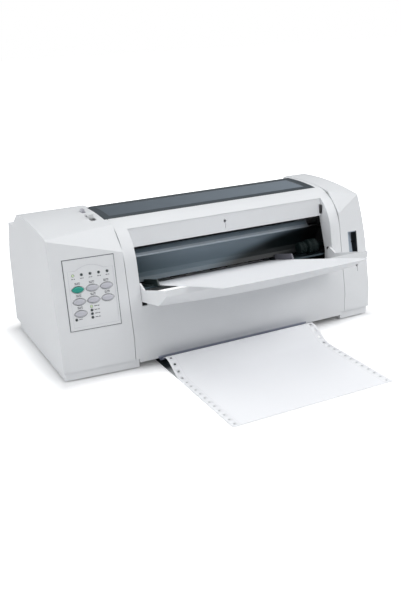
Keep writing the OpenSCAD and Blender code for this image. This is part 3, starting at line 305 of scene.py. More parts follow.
casing = moulded("casing_plastic", COVER_WHITE, 0.46)
panel_plastic = moulded("panel_plastic", (0.77, 0.78, 0.795), 0.44, 0.3)
cover_plastic = moulded("cover_plastic", COVER_WHITE, 0.46, mouth=PAINTED_SHADE_TOP)
base_plastic = moulded("base_plastic", COVER_WHITE, 0.5)
table_plastic = moulded("table_plastic", (0.065, 0.095, 0.112), 0.4)
black_plastic = moulded("black_plastic", (0.012, 0.012, 0.014), 0.42)
dark_plastic = moulded("dark_plastic", (0.045, 0.047, 0.055), 0.45)
edge_guide_plastic = moulded("edge_guide_plastic", (0.17, 0.165, 0.195), 0.45)
key_plastic = moulded("key_plastic", (0.55, 0.55, 0.60), 0.36, 0.3)
green_key_plastic = moulded("green_key_plastic", (0.026, 0.33, 0.26), 0.34, 0.3)
left_guide_plastic = moulded("left_guide_plastic", (0.03, 0.045, 0.045), 0.45)
roller_plastic = moulded("roller_plastic", (0.005, 0.011, 0.011), 0.5, Specular_IOR_Level=0.18)
# The side frames' near black is painted shade for the dark inside of the machine.
frame_painted_shade = moulded("frame_steel_painted_shade", (0.015, 0.016, 0.017), 0.5)
nylon = moulded("gear_nylon", (0.72, 0.68, 0.56), 0.42)
white_plastic = moulded("white_plastic", (0.80, 0.81, 0.82), 0.4)
ink = moulded("caption_ink", (0.16, 0.165, 0.18), 0.5, 0.1)
print("materials with the plastics", len(bpy.data.materials))

# %% [markdown]
# ## The smoked window
# The window is tinted acrylic, nearly opaque. Its rim is matt and dark, its middle is sunk,
# polished and paler, so the same part needs two tones. Two materials would need its faces
# sorted. A mask is simpler: a rectangle in the machine's own millimetres, so that the tones
# meet exactly at the sunk edge.

# %% Finish for the window
RIM = 12 * MM
STEP_IN, STEP_OUT = 0.7 * MM, 0.5 * MM
WINDOW_X = (-149 * MM, 196.5 * MM)
WINDOW_Y = (-46 * MM, 29.5 * MM)


def smoked(name):
    """Polished field inside a darker matt rim `RIM` wide, with a painted highlight along the step.
    A point is inside an outline when it is nearer the middle than half the size on both axes."""
    f = Finish(name, (0.10, 0.12, 0.14), 0.3)
    x, y, _ = f.axes()

    def inside(margin):
        """1 within the outline drawn in by `margin`, 0 beyond it."""
        mask = 1
        for at, (low, high) in ((x, WINDOW_X), (y, WINDOW_Y)):
            mask = mask * ((at - (low + high) / 2).size() < (high - low) / 2 - margin)
        return mask

    field = inside(RIM)
    # Painted highlight: a pale line along the sunk edge of the field.
    step = inside(RIM - STEP_IN) - inside(RIM + STEP_OUT)
    dust = f.noise(60.0, 5.0, (1, 3, 1))
    across = (x - WINDOW_X[0]) / (WINDOW_X[1] - WINDOW_X[0])
    clear = f.blend(across * 0.7 + dust * 0.3, (0.078, 0.096, 0.115), (0.235, 0.275, 0.318))
    rim = f.blend(dust, (0.052, 0.064, 0.074), (0.066, 0.078, 0.088))
    f.set("Base Color", f.blend(step * 0.5, f.blend(field, rim, clear), (0.27, 0.285, 0.30)))
    f.set("Roughness", 0.42 - field * 0.12 + dust * 0.06)
    f.relief(f.noise(900.0), 0.00001, 0.2)
    return f.material


smoke = smoked("smoked_acrylic")
print("window middle", [round(high - low - 2 * RIM, 4) for low, high in (WINDOW_X, WINDOW_Y)])

# %% [markdown]
# ## Metal and rubber
# Shafts are ground and sheet is rolled, so their marks run one way: noise stretched along the
# part. Rubber has a tight grain, almost no gloss, and a pale bloom where it has aged.

# %% Finishes for metal and rubber
def ground_metal(name, colour, roughness, along=(1, 30, 30)):
    """Metal with grinding marks: noise squeezed across the axis that the marks run along. The colour
    runs from 0.85 to 1.1 of itself with it, and the roughness 0.09 up and down."""
    f = Finish(name, colour, roughness, 1.0)
    marks = f.noise(160.0, 4.0, along)
    f.set("Base Color", f.blend(marks, tint(colour, 0.85), tint(colour, 1.1)))
    f.set("Roughness", marks * 0.18 + (roughness - 0.09))
    f.relief(marks, 0.00002, 0.4)
    return f.material


def rubber(name, colour, roughness=0.75):
    """Dusty rubber: the colour brightens and the gloss grows with one slow noise, over a fine grain."""
    f = Finish(name, colour, roughness)
    bloom = f.noise(45.0, 5.0)
    f.set("Base Color", f.blend(bloom, colour, tint(colour, 2.2)))
    f.set("Roughness", roughness - bloom * 0.15)
    f.relief(f.noise(1500.0), 0.00006, 0.5)
    return f.material


steel = ground_metal("ground_steel", (0.56, 0.57, 0.58), 0.28)
sheet_steel = ground_metal("zinc_sheet", (0.62, 0.63, 0.64), 0.42, (8, 1, 8))
head_metal = ground_metal("cast_head", (0.36, 0.37, 0.39), 0.45, (4, 4, 4))
roller_rubber = rubber("roller_rubber", (0.022, 0.022, 0.023))
belt_rubber = rubber("belt_rubber", (0.014, 0.014, 0.015))
foot_rubber = rubber("foot_rubber", (0.06, 0.06, 0.062))
# The dark grey strip in the gap round the operator plate: painted shade for that gap.
gap_shade = rubber("gap_shade_strip", (0.11, 0.115, 0.125))
print("materials with metal and rubber", len(bpy.data.materials))

# %% [markdown]
# ## Paper
# Paper is short crossed fibres that barely lift. The form is perforated too: a fine line runs
# down each side where the punched strip tears off. Cutting those slits would take thousands of
# faces, so they are a tone. A line repeats by a remainder, so two lines a page's width apart are
# one sum. Where the form is drawn in under the machine, a painted shade darkens it.

# %% Finishes for paper
# Where the painted shade on the form starts, and how far it fades in.
MOUTH_Y, MOUTH_LONG = -130 * MM, 4.5 * MM
TEAR_OFF, TEAR_HALF = FORM_WIDE - 2 * FORM_PITCH, 0.25 * MM


def paper(name, colour, folds=(), mouth=None):
    """Uncoated paper: two crossed layers of stretched noise are its fibres. `folds` is a list of
    (axis, place, step, half width) lines that are pressed or perforated into it: a point is on one
    when its distance from `place`, less whole steps, is within the half width of 0 or of a step.
    From y = `mouth` on, the sheet is inside the machine and gets a painted shade."""
    f = Finish(name, colour, 0.86)
    fibres = f.noise(900.0, 4.0, (1, 4, 1)) * 0.5 + f.noise(900.0, 4.0, (4, 1, 1)) * 0.5
    tone = f.blend(fibres, tint(colour, 0.975), tint(colour, 1.02))
    at = f.axes()
    for axis, place, step, half in folds:
        near = ((at[axis] - place).mod(step) - step / 2).size() > step / 2 - half
        tone = f.blend(near * 0.16, tone, (0.30, 0.31, 0.33))
    if mouth is not None:
        # Painted shade where the sheet goes in under the machine.
        tone = f.blend(f.ramp(at[1], mouth - MOUTH_LONG, mouth), tone, (0.20, 0.22, 0.30))
    f.set("Base Color", tone)
    f.relief(fibres, 0.00005, 0.4)
    return f.material


perforations = [(0, FORM_X - TEAR_OFF / 2, TEAR_OFF, TEAR_HALF)]
cut_paper = paper("cut_paper", (0.86, 0.87, 0.895))
form_paper = paper("form_paper", (0.93, 0.935, 0.955), perforations, MOUTH_Y)
print("page between the perforations", round(TEAR_OFF / MM, 1), "mm")

# %% [markdown]
# ## Boards and lamps
# A circuit board is green lacquer over copper, and the copper shows as brighter stripes. They
# lie deep in the machine, so crossed sines broken up by noise are enough. A lamp is a small
# clear lens, and a lit one glows a little in its own colour, which is surer than a real light.

# %% Finishes for boards and lamps
def circuit(name):
    """Green lacquer with brighter tracks: stripes where a sine is near its top, every 2.6 mm in x and
    3.3 mm in y, broken where a slow noise is low. Two masks join as a + b - a b."""
    lacquer, track = (0.03, 0.16, 0.08), (0.09, 0.33, 0.17)
    f = Finish(name, lacquer, 0.35)
    x, y, _ = f.axes()
    tracks = ((x * 2400).wave() > 0.75) * (f.noise(70.0) > 0.5)
    cross = ((y * 1900).wave() > 0.8) * (f.noise(55.0) > 0.53)
    f.set("Base Color", f.blend(tracks + cross - tracks * cross, lacquer, track))
    return f.material


def lamp(name, colour, glow=0.0):
    """A small clear lens: gloss, a drift in tone, and `glow` times its own colour as light."""
    f = Finish(name, colour, 0.2, Emission_Strength=glow)
    tone = f.blend(f.noise(400.0), tint(colour, 0.85), tint(colour, 1.15))
    f.set("Base Color", tone)
    f.set("Emission Color", tone)
    return f.material


board_green = circuit("solder_resist")
lamp_dark = lamp("unlit_lens", (0.055, 0.07, 0.07))
lamp_lit = lamp("lit_lens", (0.55, 0.68, 0.42), 0.15)
print("materials with boards and lamps", len(bpy.data.materials))

# %% [markdown]
# ## The paper guide and the switch
# Some parts change along their length. The guide gets painted shade low down, a painted highlight
# on its rolled edge and a painted shadow over its right end, and the switch is grey with one wall
# painted black as shade. Each is a mask on x, y or z, so the change stays at its millimetre.

# %% Finishes that change along a part
GUIDE_EDGE_Y, GUIDE_EDGE_Z, GUIDE_END = -62.6 * MM, 140.9 * MM, 172 * MM
# Spans of the guide's painted shade in x and z, and of the painted shadow on its right end.
PAINTED_LIGHT_X, PAINTED_LIGHT_Z, PAINTED_SHADOW_X = (-130 * MM, 10 * MM), (112 * MM, 140 * MM), (120 * MM, 190 * MM)
PAINTED_SHADOW_SLANT = 3
# Beyond these x the switch's bezel and its rocker are painted black, as painted shade in the right of the
# recess.
SWITCH_WALL, ROCKER_SIDE = 233.6 * MM, 228.7 * MM


def curved_guide(name):
    """The bent guide behind the opening: teal plastic, darker low down and towards the left as painted
    shade, with a painted highlight on its rolled edge. A painted shadow blackens its right end along a
    slant, which moves three millimetres left for each millimetre down. Beyond GUIDE_END it is near black,
    as painted shade."""
    f = Finish(name, (0.15, 0.21, 0.25), 0.4)
    x, y, z = f.axes()
    cloud = f.noise(14.0)
    # Painted shade: darker low down and towards the left.
    painted_lighting = f.ramp(x, *PAINTED_LIGHT_X) * 0.5 + f.ramp(z, *PAINTED_LIGHT_Z) * 0.5 + cloud * 0.1
    teal = f.blend(painted_lighting, (0.060, 0.095, 0.115), (0.215, 0.268, 0.315))
    # Painted highlight on the rolled edge.
    edge = (z > GUIDE_EDGE_Z) * (y < GUIDE_EDGE_Y)
    teal = f.blend(edge, teal, (0.38, 0.43, 0.48))
    # Painted shadow over the right end, along a slant.
    painted_shadow = f.ramp(x + (GUIDE_EDGE_Z - z) * PAINTED_SHADOW_SLANT + cloud * 0.02, *PAINTED_SHADOW_X)
    teal = f.blend(painted_shadow, teal, (0.006, 0.010, 0.011))
    # Painted shade: near black beyond the guide's end.
    f.set("Base Color", f.blend(x > GUIDE_END, teal, (0.006, 0.006, 0.007)))
    f.set("Roughness", cloud * 0.1 + 0.36)
    f.relief(f.noise(2200.0, 2.0), 0.00004, 0.35)
    return f.material


def switch_grey(name, wall):
    """The switch's plastic: grey as far as x = `wall`, and black beyond it, a painted shade on the right
    of the recess.
    """
    f = Finish(name, (0.3, 0.34, 0.4), 0.4)
    x, _, _ = f.axes()
    dust = f.noise(90.0)
    grey = f.blend(dust, (0.34, 0.40, 0.47), (0.40, 0.46, 0.53))
    # Painted shade: black beyond x = wall.
    f.set("Base Color", f.blend(x > wall, grey, (0.012, 0.014, 0.018)))
    f.set("Roughness", dust * 0.08 + 0.36)
    f.relief(f.noise(2200.0, 2.0), 0.00004, 0.35)
    return f.material


guide_plastic = curved_guide("guide_plastic")
switch_plastic = switch_grey("switch_plastic", SWITCH_WALL)
rocker_plastic = switch_grey("rocker_plastic", ROCKER_SIDE)
print("materials in all", len(bpy.data.materials))

# %% [markdown]
# ## Dressing the solids
# A node whose shape is right keeps its mesh and only changes its material. One table pairs
# every finish with the nodes that wear it, so a node left out is easy to find.

# %% Which node wears which finish
wardrobe = {
    casing: ["left_housing", "right_housing", "rear_cover", "sheet_flap"],
    base_plastic: ["base_pan"],
    panel_plastic: ["panel_bezel"],
    cover_plastic: ["front_cover"],
    smoke: ["access_window"],
    guide_plastic: ["paper_guide"],
    table_plastic: ["sheet_table", "form_ramp"],
    black_plastic: ["tractor_bodies", "power_inlet", "ribbon_cartridge"],
    switch_plastic: ["switch_bezel"],
    rocker_plastic: ["power_rocker"],
    roller_plastic: ["grip_rollers"],
    left_guide_plastic: ["left_sheet_guide"],
    edge_guide_plastic: ["right_sheet_guide"],
    dark_plastic: ["feed_motor", "carriage_motor", "carriage_block", "tractor_sprockets"],
    key_plastic: ["key_a", "key_b", "key_c", "key_d", "key_e", "key_f", "path_lever"],
    green_key_plastic: ["key_start"],
    white_plastic: ["thickness_lever"],
    nylon: ["bearing_bushes", "platen_gear", "feed_pinion", "idler_gear", "tractor_gear",
            "belt_pulley", "belt_idler"],
    steel: ["carriage_shaft", "tractor_bar", "platen_shaft", "tractor_shaft", "data_ports",
            "cover_screws"],
    sheet_steel: ["guide_rail", "power_supply"],
    frame_painted_shade: ["side_frames"],
    head_metal: ["print_head"],
    roller_rubber: ["platen_roller", "pressure_rollers"],
    belt_rubber: ["drive_belt", "ink_ribbon"],
    foot_rubber: ["rubber_feet"],
    board_green: ["logic_board", "panel_board"],
    lamp_dark: ["status_lights"],
    lamp_lit: ["lit_lights"],
    cut_paper: ["cut_sheet"],
    form_paper: ["continuous_form"],
}


def dress(thing, material):
    """Gives an object this one material."""
    thing.data.materials.clear()
    thing.data.materials.append(material)


for material, names in wardrobe.items():
    for name in names:
        dress(nodes[name], material)
undressed = sorted(set(nodes) - {n for names in wardrobe.values() for n in names})
print("undressed", undressed)

# %% [markdown]
# ## Rounding the moulded covers
# Every moulding has rounded edges, because a sharp one can't be filled or drawn from the mould.
# A copy of the solid is merged, its flat triangles are joined again, and the Bevel modifier
# rounds what turns by more than the limit. Weighted normals then keep the flats flat.

# %% Softened copies
ROUNDING = {"left_housing": 1.0, "right_housing": 1.0, "front_cover": 0.9, "rear_cover": 0.9,
            "sheet_flap": 0.8, "access_window": 0.5, "base_pan": 0.7, "panel_bezel": 0.3}
MERGE, FLAT_LIMIT = 1.5e-5, math.radians(0.6)


def softened(node, radius, angle=28, segments=3):
    """A copy of a CAD node with merged points, rejoined flats and edges rounded by `radius` metres."""
    mesh = nodes[node].data.copy()
    made = bmesh.new()
    made.from_mesh(mesh)
    bmesh.ops.remove_doubles(made, verts=made.verts, dist=MERGE)
    bmesh.ops.dissolve_limit(made, angle_limit=FLAT_LIMIT, verts=made.verts, edges=made.edges)
    for face in made.faces:
        face.smooth = True
    made.to_mesh(mesh)
    made.free()
    skin = bpy.data.objects.new(node + "_skin", mesh)
    bpy.context.scene.collection.objects.link(skin)
    bevel = skin.modifiers.new("rounding", "BEVEL")
    bevel.width = radius
    bevel.segments = segments
    bevel.limit_method = "ANGLE"
    bevel.angle_limit = math.radians(angle)
    bevel.use_clamp_overlap = True
    flats = skin.modifiers.new("flats", "WEIGHTED_NORMAL")
    flats.keep_sharp = False
    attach(skin, nodes[node]["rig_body"])
    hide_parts(node)
    print("rounded", node, len(mesh.polygons), "faces")


for name, radius in ROUNDING.items():
    softened(name, radius * MM)

# %% [markdown]
# ## Surfaces from numbers
# A shape that bends is easiest as a grid: rows of points worked out as whole arrays, with a quad
# between each four neighbours. A ring joins its last column to its first, and a pole is a row
# shrunk to one point, which merging by distance closes. Paper gets its thickness at the end.

# %% Meshes from arrays
SAME_POINT = 2e-6


def piece(name, points, faces, material, body=None, thickness=0.0, closed=False):
    """A mesh from points in metres. Doubles merge, and a closed shell gets its faces turned outwards."""
    mesh = bpy.data.meshes.new(name)
    mesh.from_pydata(points.reshape(-1, 3).tolist(), [], faces.reshape(-1, 4).tolist())
    made = bmesh.new()
    made.from_mesh(mesh)
    bmesh.ops.remove_doubles(made, verts=made.verts, dist=SAME_POINT)
    if closed:
        bmesh.ops.recalc_face_normals(made, faces=made.faces)
    for face in made.faces:
        face.smooth = True
    made.to_mesh(mesh)
    made.free()
    thing = bpy.data.objects.new(name, mesh)
    bpy.context.scene.collection.objects.link(thing)
    if thickness:
        wall = thing.modifiers.new("thickness", "SOLIDIFY")
        wall.thickness = thickness
        wall.offset = 0
    dress(thing, material)
    if body:
        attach(thing, body)
    print("made", name, len(mesh.polygons), "faces")
    return thing


def quads(rows, columns, ring=False):
    """Numbers of the four corners of every cell of a grid, in steps of one row and one column."""
    number = np.arange(rows * columns).reshape(rows, columns)
    if ring:
        number = np.concatenate([number, number[:, :1]], axis=1)
    corners = [number[:-1, :-1], number[:-1, 1:], number[1:, 1:], number[1:, :-1]]
    return np.stack(corners, axis=-1).reshape(-1, 4)


def copies(faces, count, points):
    """The same faces for `count` copies of a pattern with that many `points`, one after another."""
    return faces[None] + np.arange(count)[:, None, None] * points


# %% [markdown]
# ## The cut sheet
# One letter sheet lies on the open flap and runs in under the cover to the platen. It is a
# ruled surface: straight across, and along it a line on the feed slope that sags a little
# where nothing carries it. A cloth simulation would sag too, but never twice the same. The sheet
# is joined to no body, and stays where it is made.

# %% Letter sheet
FEED_SLOPE = math.radians(16)
LIP_Y, LIP_Z = -191, 133
SHEET_X, SHEET_WIDE, SHEET_LONG, SHEET_REAR = 13, 215.9, 279.4, -11
SHEET_ROWS, SHEET_COLUMNS = 90, 28
SHEET_LIFT, SAG, CURL = 0.15, 1.5, 0.7
PAPER_THICK = 0.12 * MM


def letter_points():
    """Height falls with y on the feed slope. Past the lip it sags with the square of the overhang,
    in thirds of a sheet, and its long edges curl up with the overhang itself."""
    along = np.linspace(0, SHEET_LONG, SHEET_ROWS)[:, None]
    across = np.linspace(-1, 1, SHEET_COLUMNS)[None, :]
    y = SHEET_REAR - along * math.cos(FEED_SLOPE) + 0 * across
    free = np.clip((LIP_Y - y) / (SHEET_LONG / 3), 0, None)
    slope = LIP_Z + (LIP_Y - y) * math.tan(FEED_SLOPE)
    z = slope + SHEET_LIFT - SAG * free ** 2 + CURL * free * across ** 2
    x = SHEET_X + SHEET_WIDE / 2 * across + 0 * along
    return np.stack([x, y, z], axis=-1) * MM


letter = piece("letter_sheet", letter_points(), quads(SHEET_ROWS, SHEET_COLUMNS), cut_paper,
               thickness=PAPER_THICK)
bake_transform(letter)
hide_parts("cut_sheet")

# %% [markdown]
# ## The path of the continuous form
# The form lies flat on the table, rises in one wave ahead of the machine, dips under the front
# panel and then climbs a circle to the rollers. The path comes first, as a row of points, because
# the holes are spaced along the paper and so are measured on it.

# %% Form path
FORM_FRONT, FORM_TURN, FORM_BEND, FORM_LOW = -324, -150, 69.8, 0.25
WAVE_START, WAVE_CREST, WAVE_TALL = -184, -139, 17
DIP = np.array([-121, 6.35])
MEET, END = math.radians(45), math.radians(60)


def eased(s):
    """Half a wave: rises from 0 to 1, level at both ends."""
    return (1 - np.cos(math.pi * s)) / 2


def on_bend(a):
    """The point of the circle inside the machine at slope `a`: from its lowest point, the radius
    times the sine along, and the radius less its cosine up."""
    return np.concatenate([FORM_TURN + FORM_BEND * np.sin(a), FORM_LOW + FORM_BEND * (1 - np.cos(a))], 1)


def form_path():
    """Points (y, z) along the form in millimetres: level, half a wave up, half a wave down to the
    dip, a curve (1-t)^2 dip + 2 t (1-t) knee + t^2 meet, then the circle."""
    t = np.linspace(0, 1, 60)[:, None]
    crest = FORM_LOW + WAVE_TALL
    meet = on_bend(np.array([[MEET]]))[0]
    knee = np.array([meet[0] - (meet[1] - DIP[1]) / math.tan(MEET), DIP[1]])
    table = np.concatenate([FORM_FRONT + (WAVE_START - FORM_FRONT) * t, FORM_LOW + 0 * t], 1)
    rise = np.concatenate([WAVE_START + (WAVE_CREST - WAVE_START) * t, FORM_LOW + WAVE_TALL * eased(t)], 1)
    fall = np.concatenate([WAVE_CREST + (DIP[0] - WAVE_CREST) * t, crest + (DIP[1] - crest) * eased(t)], 1)
    turn_up = (1 - t) ** 2 * DIP + 2 * t * (1 - t) * knee + t ** 2 * meet
    circle_up = on_bend(MEET + (END - MEET) * t)
    return np.concatenate([table, rise[1:], fall[1:], turn_up[1:], circle_up[1:]]) * MM


path = form_path()
lengths = np.concatenate([[0], np.cumsum(np.linalg.norm(np.diff(path, axis=0), axis=1))])
cells = int(lengths[-1] / FORM_PITCH)
print("form", round(lengths[-1] / MM), "mm long,", cells, "holes a side")

# %% [markdown]
# ## Punched strips
# Continuous form paper has a strip down each side with a hole every 12.7 mm, which the tractor's
# pins fill. A Boolean cut would make the holes, but its long thin faces crease where the paper
# bends. So a cell is a square with a sixteen-sided hole, repeated down the strip, and plain rows
# of quads fill the page between. Then the flat pattern is laid along the path.

# %% Punched form
HOLE, HOLE_SIDES = 1.7 * MM, 16
PAGE_COLUMNS = 18


def bent(pattern):
    """A flat pattern (x, distance along) laid on the path, its height read off by distance."""
    x, along = pattern[..., 0], pattern[..., 1]
    y, z = (np.interp(along, lengths, path[:, i]) for i in range(2))
    return np.stack([x, y, z], axis=-1)


def punched_strip(x):
    """Cells down a strip: sixteen points on the square, sixteen on the hole in it, quads between.
    `walk` is one side of the square's outline, and the same walk a quarter turn on is the other."""
    angle = np.arange(HOLE_SIDES) * math.tau / HOLE_SIDES
    hole = np.stack([np.cos(angle), np.sin(angle)], axis=-1) * HOLE
    walk = np.array([0, 0.5, 1, 1, 1, 1, 1, 0.5, 0, -0.5, -1, -1, -1, -1, -1, -0.5])
    square = np.stack([np.roll(walk, -4), walk], axis=-1) * FORM_PITCH / 2
    cell = np.stack([square, hole])
    middles = np.stack([np.full(cells, x), (np.arange(cells) + 0.5) * FORM_PITCH], axis=-1)
    faces = copies(quads(2, HOLE_SIDES, True), cells, 2 * HOLE_SIDES)
    return cell[None] + middles[:, None, None, :], faces


def page():
    """The plain page between the strips, with four rows to each cell."""
    rows = 4 * cells + 1
    x = np.linspace(-0.5, 0.5, PAGE_COLUMNS) * TEAR_OFF + FORM_X
    along = np.arange(rows) * FORM_PITCH / 4
    return np.stack(np.meshgrid(x, along), axis=-1), quads(rows, PAGE_COLUMNS)


STRIP_OUT = (FORM_WIDE - FORM_PITCH) / 2
pattern, corners, count = [], [], 0
for points, faces in (punched_strip(FORM_X - STRIP_OUT), page(), punched_strip(FORM_X + STRIP_OUT)):
    pattern.append(points.reshape(-1, 2))
    corners.append(faces.reshape(-1, 4) + count)
    count += len(pattern[-1])
form = piece("punched_form", bent(np.concatenate(pattern)), np.concatenate(corners), form_paper, "case",
             PAPER_THICK)
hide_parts("continuous_form")

# %% [markdown]
# ## The operator panel's own directions
# The panel leans back and is swept sideways, so its keys are easiest to draw in its own frame.
# Each key slides straight in, which gives the normal; level across is at right angles to that
# and to the vertical. The plate's middle comes from its own points, and so does the face of the
# housing, PLATE_UP below the plate's front.

# %% Panel frame
press_in = Vector(next(j["axis"] for j in frame["joints"] if j["name"] == "press_a"))
normal = np.array(-press_in.normalized())
level = np.cross([0, 0, 1.0], normal)
level /= np.linalg.norm(level)
PANEL = np.stack([level, np.cross(normal, level), normal])


def span(node):
    """Lowest and highest of a node's points along the panel's three directions."""
    place = np.array([v.co for v in nodes[node].data.vertices]) @ PANEL.T
    return place.min(0), place.max(0)


plate_low, plate_high = span("panel_bezel")
plate_middle = (plate_low + plate_high) / 2
PLATE_UP = 1.2 * MM
face = plate_high[2] - PLATE_UP
lean = round(math.degrees(math.asin(normal[2])), 1)
print("panel", np.round((plate_high - plate_low)[:2] / MM, 1), "mm, leans", lean)

# %% [markdown]
# ## Keys
# A key is a low dome over a pointed oval. It could be sculpted, but seven keys of one kind are
# surer as rings of one outline: up the skirt, then in over a curve that is upright at the edge
# and level at the pole. Each key takes its size and its place from its own solid.

# %% Domes
SKIRT_CUT, SKIRT_UP = 1.1 * MM, 0.1 * MM


def dome(outline, foot, shoulder, top, steps=9, fullness=2.6):
    """Rings of an outline: a bottom pole, the foot, the shoulder, then scale^fullness + height^2 = 1."""
    phi = np.linspace(0, math.pi / 2, steps)
    scale = np.concatenate([[0, 1], np.cos(phi) ** (2 / fullness)])
    height = np.concatenate([[foot, foot], shoulder + (top - shoulder) * np.sin(phi)])
    scale[-1] = 0
    flat = scale[:, None, None] * outline[None]
    return np.concatenate([flat, np.broadcast_to(height[:, None, None], (*flat.shape[:2], 1))], axis=-1)


def oval(wide, tall, points=56, pointed=1.35):
    """A pointed oval: an ellipse whose height is the sine to the power `pointed`, which draws in
    its two ends."""
    t = np.arange(points) * math.tau / points
    lift = np.sign(np.sin(t)) * np.abs(np.sin(t)) ** pointed
    return np.stack([np.cos(t) * wide / 2, lift * tall / 2], axis=-1)


for node in [n for n in nodes if n.startswith("key_")]:
    low, high = span(node)
    size = high - low
    rings = dome(oval(size[0], size[1]), low[2] + SKIRT_CUT, face + PLATE_UP + SKIRT_UP, high[2])
    rings[..., :2] += (low + high)[None, None, :2] / 2
    material = green_key_plastic if node == "key_start" else key_plastic
    cap = piece(node + "_cap", rings @ PANEL, quads(*rings.shape[:2], True), material,
                nodes[node]["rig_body"], closed=True)
    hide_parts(node)

# %% [markdown]
# ## Lights
# The lamps stand in a row above the keys and in a column below them, and two are lit. Each is a
# bead, the same dome over a circle. A mesh wears one finish here, so the dark beads are copied
# to their places in one mesh and the lit ones in another.

# %% Lights
ROW_LIGHTS = [(-22.8 + 11.55 * i, 26) for i in range(5)]
COLUMN_LIGHTS = [(-3.2, -17.6 - 4.9 * i) for i in range(4)] + [(-25, -32.4)]
LIGHTS = np.array(ROW_LIGHTS + COLUMN_LIGHTS) * MM
LIT = [0, 5]
DARK = [i for i in range(len(LIGHTS)) if i not in LIT]
BEAD_R, BEAD_FOOT, BEAD_SHOULDER, BEAD_TOP = 1.5 * MM, 2.4 * MM, 0.9 * MM, 0.35 * MM
turns = np.arange(20) * math.tau / 20
circle = np.stack([np.cos(turns), np.sin(turns)], axis=-1)
bead = dome(circle * BEAD_R, face - BEAD_FOOT, face + BEAD_SHOULDER, face + PLATE_UP + BEAD_TOP,
            steps=6, fullness=2.0)
for name, node, chosen, material in (("light_beads", "status_lights", DARK, lamp_dark),
                                     ("lit_beads", "lit_lights", LIT, lamp_lit)):
    places = np.concatenate([LIGHTS[chosen] + plate_middle[:2], np.zeros((len(chosen), 1))], axis=1)
    beads = bead[None] + places[:, None, None, :]
    faces = copies(quads(*bead.shape[:2], True), len(chosen), bead[..., 0].size)
    lights = piece(name, beads @ PANEL, faces, material, "case", closed=True)
    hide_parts(node)

# %% [markdown]
# ## Ink on the label
# Every key and light has a dark outline. Ink could be a mask in the label's finish, but a thin
# mesh keeps its edges sharp from close by: a film three hundredths of a millimetre thick, between
# an outline and the same outline moved outwards, so that its width is the same all round.

# %% Outlines
INK_THICK, LABEL_UP, INK_UP = 0.03 * MM, 0.8 * MM, 0.02 * MM
LABEL_Z = face + LABEL_UP + INK_UP
KEY_MIDDLES = [(-18.4, 6.9), (0.9, 6.9), (20.2, 6.9),
               (-18.4, -9.1), (0.9, -9.1), (20.2, -9.1), (-18.4, -25.1)]
KEY_RING, KEY_LINE = (17.7, 10.0), 0.32
LIGHT_RING, LIGHT_LINE = 1.65, 0.4


def printed(name, flat, faces, material=ink):
    """Ink on the label: points in the plate's own millimetres get the label's height."""
    flat = np.asarray(flat, float).reshape(-1, 2) * MM + plate_middle[:2]
    points = np.concatenate([flat, np.full((len(flat), 1), LABEL_Z)], axis=1)
    return piece(name, points @ PANEL, np.asarray(faces), material, "case", INK_THICK)


def band(outline, width):
    """A strip along a closed outline: each point, and the same point moved out by `width` along
    its normal, which is the line between its two neighbours turned by a right angle."""
    along = np.roll(outline, -1, 0) - np.roll(outline, 1, 0)
    out = np.stack([along[:, 1], -along[:, 0]], axis=1)
    return np.stack([outline, outline + out / np.linalg.norm(out, axis=1, keepdims=True) * width])


def rings_at(name, middles, outline, width, material=ink):
    """The same band round each of the middles."""
    rings = band(outline, width)[None] + np.array(middles)[:, None, None, :]
    faces = copies(quads(2, len(outline), True), len(middles), 2 * len(outline))
    return printed(name, rings, faces, material)


rings_at("key_outlines", KEY_MIDDLES, oval(*KEY_RING), KEY_LINE)
rings_at("light_outlines", LIGHTS / MM, circle * LIGHT_RING, LIGHT_LINE)

# %% [markdown]
# ## The label's border
# A paler line runs round the sunk label and rises in a low arch over the row of lights. It is
# the same band, inwards this time: round four corners and an arch, which is a parabola, so its
# height is the full height times one less the square of the way out from the middle.

# %% Label border
LABEL_LEFT, LABEL_RIGHT, LABEL_FOOT, LABEL_TOP = -29.5, 31.7, -42.9, 31.9
ARCH_WIDE, ARCH_TALL, BORDER_LINE = 38, 6, 0.35
t = np.linspace(-1, 1, 25)
arch = np.stack([-t * ARCH_WIDE / 2, LABEL_TOP + ARCH_TALL * (1 - t ** 2)], axis=1)
label_corners = [(LABEL_LEFT, LABEL_TOP), (LABEL_LEFT, LABEL_FOOT),
                 (LABEL_RIGHT, LABEL_FOOT), (LABEL_RIGHT, LABEL_TOP)]
rings_at("label_border", [(0, 0)], np.concatenate([label_corners, arch]), -BORDER_LINE, key_plastic)

# %% [markdown]
# ## Captions
# Each light has one short line of print and each key has two above it. They say nothing, and are
# rows of small bars, a word's width each. A row is its middle x, its lower y and the widths of
# its words, and the words are set one after another from half the row's width to the left.

# %% Captions
BAR_TALL, WORD_GAP = 1.0, 0.7
KEY_LINES = ((8.3, (2.6, 3.8)), (6.6, (4.4, 1.6)))
rows = [(x, 20.9, (2.6, 1.6)) for x, _ in ROW_LIGHTS]
rows += [(x, y + lift, words) for x, y in KEY_MIDDLES for lift, words in KEY_LINES]
rows += [(4.0, y - 0.4, (3.6, 2.6)) for _, y in COLUMN_LIGHTS[:4]] + [(-19.4, -32.8, (4.6,))]
bars = []
for x, y, words in rows:
    start = x - (sum(words) + WORD_GAP * (len(words) - 1)) / 2
    for wide in words:
        bars.append([(start, y), (start + wide, y), (start + wide, y + BAR_TALL), (start, y + BAR_TALL)])
        start += wide + WORD_GAP
printed("caption_marks", bars, np.arange(len(bars) * 4))

# %% [markdown]
# ## The dark strip round the plate
# The plate lies in a shallow pocket, and a dark grey strip in the gap round it, a painted shade
# for that gap, is what draws its outline. A curve with a bevel would round its corners, so it is
# a rectangle's four corners carried round a small section.

